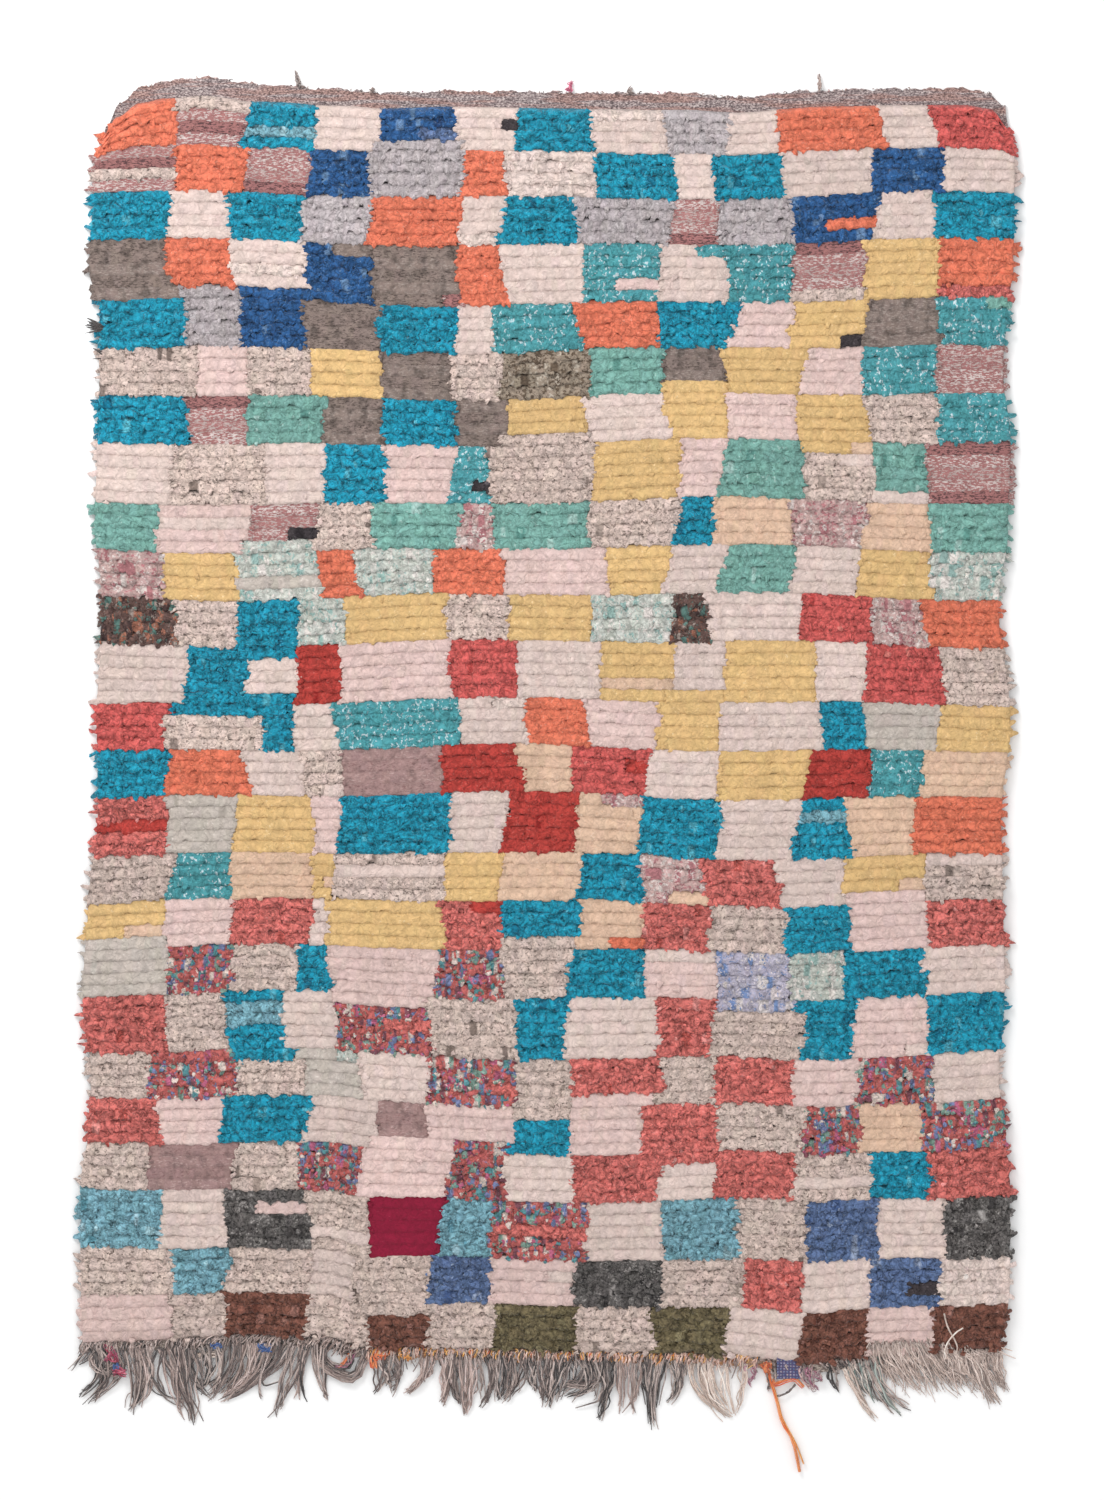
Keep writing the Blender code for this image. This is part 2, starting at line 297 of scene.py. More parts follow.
def ragFinish(name, speckScale, stretch, creaseScale, sheen):
    # cut rags: dyed colour with flecks and blotches, faded in patches, with painted shade in its depths and
    # along its creases, painted highlights on its puffs, and finely woven
    finish = Finish(name)
    at = finish.place()
    tossed = finish.shift(at, finish.attribute("toss", "Fac"), (1.0, 1.7, 0.6))
    specks = finish.noise(finish.place(stretch), speckScale, 2.0, 0.65)
    amount = finish.attribute("fleckShare", "Fac")
    # more flecks where the noise has less to climb, and none on a rag without them
    mask = finish.above(specks, 0.70 - 0.40 * amount, 14.0) * (amount * 30.0).clamped()
    dyed = finish.mixColours(mask, finish.attribute("rag"), finish.attribute("fleck"))
    fading = finish.noise(at, 21.0, 3.0, 0.6) * 0.20 + finish.noise(at, 240.0, 2.0, 0.6) * 0.20 + 0.80
    stains = ((0.53 - finish.noise(at, 62.0, 3.0, 0.6)) * 5.0).clamped() * finish.attribute("blotch", "Fac")
    crumple = finish.attribute("crumple", "Fac")
    # two sizes of billow, whose zero lines are creases
    large = abs(finish.noise(at, creaseScale * 0.62, 1.5, 0.5, 0.6) * 2.0 - 1.0)
    small = abs(finish.noise(tossed, creaseScale, 1.5, 0.55, 0.8) * 2.0 - 1.0)
    breaks = finish.above(finish.noise(at, 85.0, 1.0), 0.40, 6.0)
    # painted shade along the creases, where the cloth folds in
    creases = ((1.0 - large * 5.5).clamped() * 0.9 + (1.0 - small * 5.0).clamped() * breaks) * crumple
    puffs = large * 0.55 + small * 0.45
    # painted shade from the depth attribute and along the creases, times the real stains, then painted
    # highlights on the puffs
    shade = (0.55 + 0.45 * finish.attribute("depth", "Fac")) * (1.0 - 0.42 * creases) * (1.0 - stains)
    shade = shade * (0.86 + 0.14 * (1.0 - crumple) + 0.85 * puffs * crumple)
    threads = finish.noise(finish.place((1.0, 2.2, 1.0)), 700.0, 1.0)
    relief = puffs * (0.6 + 1.0 * crumple) + threads * 0.15
    return finish.wear(finish.dim(dyed, fading * shade), 0.84 + 0.12 * threads, relief, 0.9, 0.0055,
                       Sheen_Weight=sheen, Sheen_Roughness=0.45, Specular_IOR_Level=0.2)


# rags and how they are dealt

# how each sort of rag is cut and lies: metres between knots, then shares: how uneven the lower edge is, the
# dip between knots, the tilt of each, creases, notches, how far the edge stands over the next row, height,
# folds on top of each knot, how much the shading shows creases, and how spiky its ends are
cutFacts = ["pitch", "stray", "dip", "tilt", "crease", "notch", "step", "height", "folds", "crumple", "spike"]
cutValues = {
    "smooth": (0.0120, 0.06, 0.02, 0.03, 0.14, 0.05, 0.68, 1, 0.1, 0.32, 0.22),
    "soft": (0.0112, 0.1, 0.04, 0.06, 0.26, 0.08, 0.8, 1, 0.4, 0.62, 0.5),
    "crumpled": (0.0106, 0.11, 0.05, 0.09, 0.42, 0.12, 0.92, 1, 1, 1, 1),
    "patchy": (0.0090, 0.15, 0.05, 0.09, 0.36, 0.12, 0.92, 1, 2.4, 0.8, 0.8),
    "upright": (0.0080, 0.1, 0.1, 0.07, 0.24, 0.08, 0.9, 1, 0.35, 0.85, 0.6),
    "streak": (0.0080, 0.14, 0.12, 0.1, 0.22, 0.12, 0.8, 0.97, 0.3, 0.6, 0.7),
    "flat": (0.0130, 0.04, 0.01, 0.02, 0.07, 0.03, 0.34, 0.88, 0, 0.24, 0.1),
}
cuts = {name: dict(zip(cutFacts, values)) for name, values in cutValues.items()}

# colour, fleck colours, share of flecks, share of knots in a fleck colour, blotches, cut
rags = {
    "turquoise": ("219EBC", ["147C9A", "5AB9CF"], 0.22, 0.04, 0.06, "crumpled"),
    "paleTeal": ("87B9C8", ["629AAB", "ACD3DE"], 0.22, 0.05, 0.06, "crumpled"),
    "darkTeal": ("4A7A84", ["33626D", "6F97A0"], 0.22, 0.04, 0.10, "crumpled"),
    "navy": ("316198", ["22487A", "6A8CB4"], 0.25, 0.04, 0.10, "crumpled"),
    "denim": ("647AA4", ["475D8A", "97A5C0"], 0.25, 0.05, 0.08, "crumpled"),
    "orange": ("E77D61", ["D9694D", "F0A08A"], 0.20, 0.0, 0.04, "soft"),
    "coral": ("E07A73", ["C45D55", "F19C96"], 0.22, 0.02, 0.06, "crumpled"),
    "rose": ("D86460", ["BF4B48", "E7857C"], 0.20, 0.02, 0.06, "upright"),
    "darkRed": ("BC443D", ["9E2A27", "D0675F"], 0.25, 0.02, 0.08, "soft"),
    "crimson": ("8C1937", ["720E2B", "A43A4F"], 0.12, 0.0, 0.05, "flat"),
    "yellow": ("DEB981", ["D0A86E", "EBCE9F"], 0.18, 0.0, 0.03, "smooth"),
    "peach": ("DDBBA2", ["D0A78B", "E5CBB7"], 0.18, 0.0, 0.03, "smooth"),
    "cream": ("DDC8C0", ["D1B9B0", "E6D5CE"], 0.18, 0.0, 0.03, "smooth"),
    "pink": ("E0C4BE", ["D3B2AB", "E7D1CC"], 0.18, 0.0, 0.03, "smooth"),
    "white": ("E8D4CC", ["D7C1B6", "F0DFD9"], 0.15, 0.0, 0.03, "soft"),
    "silver": ("BDB3B5", ["A79DA0", "D1C9CA"], 0.25, 0.02, 0.05, "streak"),
    "brick": ("A4716F", ["CDBDB9", "5C4042", "D2C4C0", "BBA9A5"], 0.50, 0.0, 0.10, "flat"),
    "greyBrown": ("8A7A73", ["5F524E", "A0928B"], 0.42, 0.0, 0.52, "flat"),
    "tweedBrown": ("A39383", ["5E4F42", "6E5E4F", "C3B7A8"], 0.50, 0.06, 0.10, "soft"),
    "mauve": ("A58683", ["8C6B69", "BA9E9A"], 0.35, 0.0, 0.32, "flat"),
    "roseMottle": ("C9A9A5", ["B77C80", "E0D2CD"], 0.45, 0.20, 0.05, "soft"),
    "heather": ("DCC6BC", ["84746C", "94837B", "A8968D"], 0.32, 0.012, 0.06, "soft"),
    "sage": ("C6BBB2", ["B1A79D", "D6CDC5"], 0.22, 0.01, 0.05, "smooth"),
    "seaGreen": ("53A1A9", ["CEE1E7", "CEE1E7", "38848B"], 0.34, 0.0, 0.05, "soft"),
    "seaLight": ("7FB0A6", ["A5C8C0", "62968D"], 0.22, 0.03, 0.05, "soft"),
    "mint": ("C9CCC4", ["E6DED8", "9FBDB7"], 0.40, 0.14, 0.04, "soft"),
    "print": ("C66A66", ["5F969C", "E4D2C8", "83505A", "8AA79A", "C46A88", "7C86AE"],
              0.30, 0.50, 0.04, "patchy"),
    "darkPrint": ("6E554F", ["A8705C", "5E7F78", "A2928A", "4E3A38"], 0.35, 0.45, 0.08, "patchy"),
    "lilac": ("B9B3C4", ["7A90BC", "E2D8D8"], 0.35, 0.25, 0.05, "soft"),
    "charcoal": ("716C6A", ["3F3C3C", "A29C99", "565150"], 0.45, 0.20, 0.12, "crumpled"),
    "olive": ("7A6E52", ["5C5138", "938868"], 0.28, 0.06, 0.10, "crumpled"),
    "brown": ("88594B", ["653B30", "A7776B"], 0.28, 0.07, 0.12, "crumpled"),
    "black": ("413A3D", ["282326", "655C60"], 0.30, 0.15, 0.05, "soft"),
}

# near matches that the weaver takes up when a rag runs out
nearMatches = {
    "turquoise": "paleTeal", "paleTeal": "turquoise", "darkTeal": "turquoise",
    "navy": "denim", "denim": "navy",
    "orange": "coral", "coral": "darkRed", "rose": "darkRed", "darkRed": "rose", "crimson": "coral",
    "cream": "white", "pink": "cream", "peach": "cream", "yellow": "peach", "heather": "cream",
    "greyBrown": "heather", "mauve": "heather", "brown": "black", "olive": "denim", "seaGreen": "seaLight",
    "mint": "sage", "sage": "mint", "print": "coral", "charcoal": "black", "brick": "heather",
}

# which rags are one piece of the model, and their finish: name, fleck scale, stretch, crease scale, sheen
ragPiles = {
    "turquoisePile": (["turquoise", "paleTeal", "darkTeal"], ("crinkledJersey", 260, (1, 1, 1), 120, 0.22)),
    "bluePile": (["navy", "denim", "lilac", "black", "charcoal"], ("blueCotton", 250, (1, 1, 1), 120, 0.22)),
    "redPile": (["orange", "coral", "rose", "darkRed"], ("softJersey", 260, (1, 1, 1), 112, 0.20)),
    "goldenPile": (["yellow", "peach", "white"], ("washedCotton", 240, (1, 1, 1), 105, 0.15)),
    "palePile": (["cream", "pink", "sage"], ("paleCotton", 240, (1, 1, 1), 100, 0.15)),
    "tweedPile": (["silver", "roseMottle", "heather", "tweedBrown"],
                  ("tweedWool", 150, (1.0, 1.2, 1), 125, 0.28)),
    "flatPile": (["brick", "greyBrown", "mauve", "crimson"], ("flatWeave", 270, (0.62, 1.9, 1), 105, 0.20)),
    "printedPile": (["seaGreen", "seaLight", "mint", "print", "darkPrint", "olive", "brown"],
                    ("printedRag", 150, (1.2, 0.9, 1), 118, 0.20)),
}

# rags that look alike, and so aren't laid side by side
alike = [{"cream", "white", "pink", "peach"}, {"coral", "rose", "darkRed", "orange", "crimson"},
         {"turquoise", "paleTeal", "seaGreen", "seaLight", "darkTeal"}, {"print", "darkPrint"},
         {"heather", "silver", "mint", "sage"}, {"greyBrown", "tweedBrown", "mauve", "brick"},
         {"brown", "olive", "charcoal"}]

# the weaver's two heaps of rags for each stretch of bands, bright and quiet, and how often each comes up
heaps = [
    (3, "turquoise*5 orange*4 navy*3 rose*0.7", "cream*5 silver*2.5 brick*2.5 white*1"),
    (2, "yellow*2 seaGreen*2 turquoise*3 orange*2 navy*2", "cream*3 greyBrown*3 pink*1.5 brick*1.5 silver*1"),
    (3, "seaGreen*3 yellow*3 turquoise*2.5 orange*1 tweedBrown*1.5 seaLight*1.5",
        "pink*3 greyBrown*3 heather*2 cream*2 brick*1"),
    (3, "yellow*3 turquoise*2 orange*1.5 rose*1 darkPrint*1 seaLight*1",
        "heather*3 mint*3 peach*2 cream*2 roseMottle*1.5 brick*1 pink*1 greyBrown*1"),
    (3, "turquoise*3 rose*2 yellow*2.5 seaGreen*1.5 darkRed*1.5 orange*0.7 darkTeal*0.5",
        "cream*3 peach*2 heather*3 pink*1.5 sage*1 mauve*1 roseMottle*1"),
    (3, "coral*2.5 yellow*2.5 turquoise*3 orange*1 darkRed*1 seaGreen*1",
        "cream*3 heather*3 peach*1.5 sage*1.5 pink*1 roseMottle*0.6"),
    (3, "print*3 coral*3 turquoise*2.5 seaGreen*1 lilac*0.7", "cream*2.5 heather*3.5 pink*2 mint*1 sage*1"),
    (2, "coral*2.5 print*2.5 turquoise*2 mauve*1.5 darkTeal*0.7",
        "heather*3 pink*2 cream*2 mauve*1.5 peach*1"),
    (2, "denim*2.5 crimson*1.6 charcoal*2 print*1.6 paleTeal*2 coral*2", "cream*3 heather*3 pink*1 white*1"),
    (1, "brown*4 olive*2 denim*1 coral*0.5", "heather*4 pink*2 cream*1"),
]

pile = {
    "columns": 13,
    "firstDrift": 0.10,      # how far block borders stand off at the plain end, in blocks
    "borderDrift": 0.12,     # how far they wander from band to band
    "driftKept": 0.78,       # and how much of it the next band keeps
    "slant": 0.006,          # how far a border leans, as a share of the width
    "astray": 0.05,
    "used": 0.45,            # how much less often a rag comes up once it has been laid
    "leastOften": 0.2,       # and how often at least
    "matchShare": 0.035,     # rows that end in a near match of the block's rag
    "matchCuts": [0.0, 0.0, 0.5, 0.7],      # where in the block it may start
    "scrapShare": 0.05,      # blocks with a few knots of some other rag
    "scrapCuts": (0.35, 0.45),              # where those start: at least, and how much further
    "darkScraps": 5,         # how many black rags lie among those for scraps
    "shiftShare": 0.05,      # blocks that start a row early, and as many a row late
    "blockTone": 0.03,       # how much lighter or darker blocks of one rag are
    "rowTone": 0.015,        # and rows of a block
    "knotTone": 0.018,       # and knots of a row
    "knotHue": 0.008,        # and how much knots of a row differ in hue
    "serration": 0.0042,     # how far the ends of a block's rows stand in and out
    "ground": 0.0028,        # height of the ground that the pile stands on
    "height": 0.0165,        # and of the pile over it
    # down a row of knots, in rows: from under the row above to the edge that lies on the row below
    "stations": [-0.14, 0.06, 0.26, 0.48, 0.72, 0.97, 1.10],
    "rise": [0.66, 0.84, 0.91, 0.95, 0.99, 1.0, 0.74],
    # painted shade down a row: darker under the row above and along the lower edge, where the rows overlap
    "shade": [0.25, 0.66, 0.94, 1.0, 1.0, 1.0, 0.56],
    "lobes": 3,              # columns of points across a knot
    "lobeReach": 0.70,       # how far they spread over its half width
    "knotWidths": (0.5, 1.5),               # narrowest and widest, as shares of the mean
    "valleyCurve": 2.4,      # how narrow the dips between knots are
    "notches": (0.4, 1.5),                  # and how much deeper some are cut than others
    "aside": 0.0007,         # how far points stray along the row
    "dive": 0.0026,          # how far a run's end goes under the next one
    "endHeights": (0.72, 0.10),             # heights there, and over the rim
    "firstRise": (0.12, 2.6),               # the first row comes up from the web
    "lastFall": 0.75,                       # and the last goes down to the fringe
    "least": 0.04,           # no point is lower, as a share of the height
    "creaseSizes": [0.0125, 0.0070],        # metres between creases, and how much each size counts
    "creaseShares": [0.6, 0.4],
    "creaseShift": 0.37,     # how far apart the creases of neighbouring rows are taken
    "meanPuff": 0.85,        # the puffs that leave the height as it is
    "creaseShade": 0.26,     # how much painted shade darkens the creases
}


def dealBlocks(luck):
    # bands of blocks from the plain end down: bright and quiet rags by turns, and neighbours that differ
    bands = []
    drift = luck.normal(0, pile["firstDrift"], pile["columns"] - 1)
    above = [None] * pile["columns"]
    total = sum(count for count, _, _ in heaps)
    # most bands are four rows deep, and the rows left over are spread over the rug
    deep = set(np.round(np.linspace(3, total - 3, cloth["rows"] - 4 * total)).astype(int))
    firstRow = 0
    for count, *pair in heaps:
        sorts = [dict(entry.split("*") for entry in heap.split()) for heap in pair]
        left = [{name: float(often) * count for name, often in sort.items()} for sort in sorts]
        for _ in range(count):
            drift = drift * pile["driftKept"] + luck.normal(0, pile["borderDrift"], len(drift))
            inner = (np.arange(1, pile["columns"]) + drift) / pile["columns"]
            borders = np.concatenate([[0], inner, [1]])
            dealt = []
            for column in range(pile["columns"]):
                heap = left[(column + len(bands) + (luck.random() < pile["astray"])) % 2]
                near = {name for name in (*dealt[-1:], above[column]) if name}
                shunned = near.union(*(kin for kin in alike if kin & near))
                names = [name for name in heap if name not in shunned]
                names = names or [name for name in heap if name not in near]
                often = np.array([max(heap[name], 0.0) + pile["leastOften"] for name in names])
                pick = names[luck.choice(len(names), p=often / often.sum())]
                heap[pick] -= pile["used"]
                dealt.append(pick)
            rows = 5 if len(bands) in deep else 4
            off = pile["shiftShare"]
            shift = luck.choice([-1, 0, 1], pile["columns"], p=[off, 1 - 2 * off, off])
            slant = luck.normal(0, pile["slant"], len(borders))
            slant[[0, -1]] = 0
            bands.append({"firstRow": firstRow, "rows": rows, "rags": dealt, "borders": borders,
                          "slant": slant, "starts": firstRow + shift * (firstRow > 0),
                          "heap": [name for sort in sorts for name in sort]})
            firstRow += rows
            above = dealt
    return bands


def layRuns(bands, luck):
    # the runs of knots of one rag in every row: start, end, row, rag and tone
    runs = []
    starts = np.array([band["starts"] for band in bands])
    tones = luck.normal(1, pile["blockTone"], starts.shape)
    scraps = {}
    for place in zip(*np.nonzero(luck.random(starts.shape) < pile["scrapShare"])):
        band = bands[place[0]]
        scraps[place] = (starts[place] + luck.integers(band["rows"]),
                         luck.choice(band["heap"] + ["black"] * pile["darkScraps"]), luck.random())
    serration = 0.5 * pile["serration"] / cloth["width"]
    wobble = luck.normal(0, serration, (cloth["rows"], pile["columns"] + 1))
    column = np.arange(pile["columns"])
    for row in range(cloth["rows"]):
        owners = np.maximum((starts <= row).sum(axis=0) - 1, 0)
        deep = [(row - bands[owner]["firstRow"]) / bands[owner]["rows"] - 0.5 for owner in owners]
        borders = np.array([bands[owner]["borders"] + bands[owner]["slant"] * share
                            for owner, share in zip(owners, deep)])
        # a border takes the mean of the blocks on its two sides
        inner = (borders[column[:-1], column[1:]] + borders[column[1:], column[1:]]) / 2 + wobble[row, 1:-1]
        edges = np.concatenate([[0.0], inner, [1.0]])
        for block, owner in enumerate(owners):
            rag, tone = bands[owner]["rags"][block], tones[owner, block] * luck.normal(1, pile["rowTone"])
            start, end = edges[block], edges[block + 1]
            other, cutAt = rag, end
            scrap = scraps.get((owner, block))
            if scrap and scrap[0] == row:
                least, further = pile["scrapCuts"]
                other, cutAt = scrap[1], start + (end - start) * (least + further * scrap[2])
            elif luck.random() < pile["matchShare"]:
                other = nearMatches.get(rag, rag)
                cutAt = start + (end - start) * luck.choice(pile["matchCuts"])
            for low, high, name in ((start, cutAt, rag), (cutAt, end, other)):
                if high > low:
                    runs.append((low, high, row, name, tone))
    return runs


def cutOf(names, label):
    # one column of the table of cuts, for a list of rags
    return np.array([cuts[rags[name][5]][label] for name in names])


# values a side, the angles of the two lattices, an offset that keeps places positive, gain and greatest puff
billow = {"lattice": 256, "turns": (0.5, 2.1), "offset": 500, "gain": 1.15, "most": 1.6}


def billows(x, y, size, luck):
    # puffs with sharp creases between them: two turned lattices of random values, eased between
    puffs = np.zeros(x.shape)
    side, offset = billow["lattice"], billow["offset"]
    for angle in billow["turns"]:
        lattice = luck.normal(size=(side, side))
        a = (x * math.cos(angle) + y * math.sin(angle)) / size + offset
        b = (y * math.cos(angle) - x * math.sin(angle)) / size + offset
        lowA, lowB = np.floor(a).astype(int), np.floor(b).astype(int)
        shareA, shareB = eased(a - lowA), eased(b - lowB)
        corners = [lattice[(lowA + i) % side, (lowB + j) % side] for i in (0, 1) for j in (0, 1)]
        upper = corners[0] * (1 - shareB) + corners[1] * shareB
        lower = corners[2] * (1 - shareB) + corners[3] * shareB
        puffs += upper * (1 - shareA) + lower * shareA
    return np.minimum(np.abs(puffs) * billow["gain"], billow["most"])


oldFold = {"x": -0.004, "sway": 0.003, "waves": 9, "halfWidth": 0.012, "depth": 0.22,
           "middle": 0.08, "halfLength": 0.36, "fade": 0.1}


def settled(x, y, z):
    # a soft old fold runs down the middle of the rug
    away = np.abs(x - oldFold["x"] - oldFold["sway"] * np.sin(y * oldFold["waves"])) / oldFold["halfWidth"]
    along = np.clip((oldFold["halfLength"] - np.abs(y - oldFold["middle"])) / oldFold["fade"], 0, 1)
    return z * (1 - oldFold["depth"] * np.exp(-away ** 2) * along)


def runColumns(runs, luck):
    # a column of facts for every column of points of the runs
    parts, knotsSoFar = [], 0
    names = list(rags)
    dive = pile["dive"] / cloth["width"]
    for number, (start, end, row, rag, tone) in enumerate(runs):
        cut = cuts[rags[rag][5]]
        knots = max(2, round((end - start) * cloth["width"] / cut["pitch"]))
        place = np.tile(np.linspace(-pile["lobeReach"], pile["lobeReach"], pile["lobes"]), knots)
        knot = np.repeat(np.arange(knots), pile["lobes"])
        sides = np.concatenate([[0], np.cumsum(luck.uniform(*pile["knotWidths"], knots))])
        sides = start + (end - start) * sides / sides[-1]
        across = (sides[knot] + sides[knot + 1]) / 2 + place * (sides[knot + 1] - sides[knot]) / 2
        # a closing column at each end, that goes down under the next run (1) or over the rim (2)
        across = np.concatenate([[max(start - dive, 0.0)], across, [min(end + dive, 1.0)]])
        closing = np.concatenate([[1.0 + (start == 0)], np.zeros(len(place)), [1.0 + (end == 1)]])
        place = np.concatenate([[-1.0], place, [1.0]])
        knot = np.concatenate([[0], knot, [knots - 1]])
        parts.append(np.column_stack([across, place, knot + knotsSoFar, closing] + [
            np.full(len(place), fact) for fact in (row, names.index(rag), tone, number)]))
        knotsSoFar += knots
    table = np.concatenate(parts)
    labels = ("across", "place", "knot", "closing", "row", "rag", "tone", "run")
    columns = {label: table[:, at] for at, label in enumerate(labels)}
    for label in ("knot", "rag", "run"):
        columns[label] = columns[label].astype(int)
    return columns


def runPoints(columns, luck):
    # points of the runs: rows of knots like shingles, whose lower edges lie on the row below, and the painted
    # shade of each point
    names = list(rags)
    knots = columns["knot"].max() + 1

    def cut(label):
        return cutOf(names, label)[columns["rag"]][:, None]

    def perKnot(values):
        return values[columns["knot"]][:, None]

    place, closing, row = (columns[fact][:, None] for fact in ("place", "closing", "row"))
    stations, rise = np.array(pile["stations"])[None], np.array(pile["rise"])[None]
    low = (stations - stations.min()) / (stations.max() - stations.min())
    valley = np.abs(place) ** pile["valleyCurve"]
    edge = perKnot(luck.normal(0, 1, knots)) * cut("stray")
    edge = edge - cut("notch") * valley * perKnot(luck.uniform(*pile["notches"], knots))
    jitter = luck.normal(0, 1, (2, len(place), low.shape[1]))
    down = stations + edge * low ** 2 + jitter[0] * cut("stray") * 0.5 * low
    ends = jitter[1] * pile["serration"] * (0.35 + 0.65 * cut("spike")) * (closing == 1)
    aside = (jitter[1] * pile["aside"] * (0.3 + cut("crumple")) + ends) / cloth["width"]
    x, y = clothPoint(np.clip(columns["across"][:, None] + aside, 0, 1), rowShare(row + down))
    # a fold seldom goes on into the next row
    puffs = sum(billows(x + row * pile["creaseShift"], y, size, luck) * share
                for size, share in zip(pile["creaseSizes"], pile["creaseShares"]))
    z = (1 - (1 - rise) * cut("step")) * (1 - cut("dip") * valley)
    z = z + perKnot(luck.uniform(-1, 1, knots)) * cut("tilt") * place * low
    z = z + cut("crease") * (puffs - pile["meanPuff"]) * (0.25 + 0.75 * np.sin(low * math.pi))
    for end, height in enumerate(pile["endHeights"], 1):
        z = z * np.where(closing == end, height, 1.0)
    least, further = pile["firstRise"]
    z = z * np.where(row == 0, np.clip(least + further * low, 0, 1), 1.0)
    z = z * np.where(row == cloth["rows"] - 1, 1 - pile["lastFall"] * low ** 3, 1.0)
    z = np.maximum(z, pile["least"]) * pile["height"] * cut("height") + pile["ground"]
    # painted shade: darker under the row above, along each row's lower edge and in the creases
    shade = 1 - (1 - np.array(pile["shade"])[None]) * (0.35 + 0.65 * cut("step"))
    shade = shade * (1 - cut("crumple") * pile["creaseShade"] * np.clip(1 - puffs / 0.6, 0, 1))
    return np.stack([x, y, settled(x, y, z)], -1), shade


# leaves of rag: folds that lie on the knots
folds = {
    "shapes": 30,
    "stations": [0.0, 0.3, 0.68, 1.0],      # along a leaf from its root
    # painted shade along a leaf: darker at its root and tip, a touch lighter on its crown
    "shade": [0.80, 1.0, 1.02, 0.92],
    "down": (0.35, 1.05),                   # where in the row they root
    "turn": 0.8,                            # how far they turn away from straight down, in radians
    "half": (0.0030, 0.0052),
    "long": (0.008, 0.016),
    "lift": (0.72, 0.92),                   # height of the root, as a share of the pile's
    "tone": (1.05, 0.07),
    "narrowing": (0.2, 0.85),               # how much narrower the tip is
    "arch": 0.30,                           # how high the middle stands, as a share of the pile's height
    "fall": 0.30,                           # and how far the tip comes down
    "stray": (0.16, 0.07, 0.05),            # across, along and up
    "back": 0.25,                           # share of a leaf that lies behind its place
    "least": 0.03,
    "toss": 3.0,                            # how far apart their creases are taken
    "facts": ["across", "row", "rag", "turn", "half", "long", "lift", "droop", "tone"],
}

# and teeth that lean out of the ends of the runs, of a kind inside the rug and another at its rim
teeth = {
    "down": (0.15, 1.0),
    "inset": (0.001, 0.005),                # metres inside the run's end
    "half": (0.0022, 0.0040),
    "mostTurn": 2.1,
    "tone": 0.04,
    "most": 4,                              # at one end of a run inside the rug
    "often": (0.20, 0.60),                  # how often each is there: on flat rags, and more on spiky ones
    "rimCount": (1, 4),
    # metres that they reach: the least, the most and how much that varies with the rag or at random
    "inside": {"turn": 0.7, "wide": 1.0, "lift": 0.88, "droop": 0.10, "reach": (0.009, 0.012, 0.008)},
    "rim": {"turn": 0.9, "wide": 1.6, "lift": 0.62, "droop": 1.0, "reach": (0.011, 0.018, 0.010)},
}


def layFolds(runs, luck):
    names, laid = list(rags), []

    def lay(count, **facts):
        laid.append(np.column_stack([np.broadcast_to(facts[fact], count) for fact in folds["facts"]]))

    for start, end, row, rag, tone in runs:
        cut = cuts[rags[rag][5]]
        count = luck.poisson((end - start) * cloth["width"] / cut["pitch"] * cut["folds"])
        lay(count, across=luck.uniform(start, end, count), row=row + luck.uniform(*folds["down"], count),
            rag=names.index(rag), turn=luck.normal(0, folds["turn"], count),
            half=luck.uniform(*folds["half"], count), long=luck.uniform(*folds["long"], count),
            lift=luck.uniform(*folds["lift"], count), droop=0.0,
            tone=tone * luck.normal(*folds["tone"], count))
        for border, way in ((start, -1), (end, 1)):
            rim = border in (0.0, 1.0)
            kind = teeth["rim" if rim else "inside"]
            often = teeth["often"][0] + teeth["often"][1] * cut["spike"]
            count = luck.integers(*teeth["rimCount"]) if rim else luck.binomial(teeth["most"], often)
            least, most, more = kind["reach"]
            most += more * (luck.random() if rim else cut["spike"])
            inset = way * luck.uniform(*teeth["inset"], count) / cloth["width"]
            lay(count, across=border - inset, row=row + luck.uniform(*teeth["down"], count),
                rag=names.index(rag), turn=way * luck.uniform(kind["turn"], teeth["mostTurn"], count),
                half=luck.uniform(*teeth["half"], count) * kind["wide"],
                long=luck.uniform(least, most, count), lift=kind["lift"], droop=kind["droop"],
                tone=tone * luck.normal(1.0, teeth["tone"], count))
    table = np.concatenate(laid)
    facts = {fact: table[:, column] for column, fact in enumerate(folds["facts"])}
    facts["rag"] = facts["rag"].astype(int)
    return facts


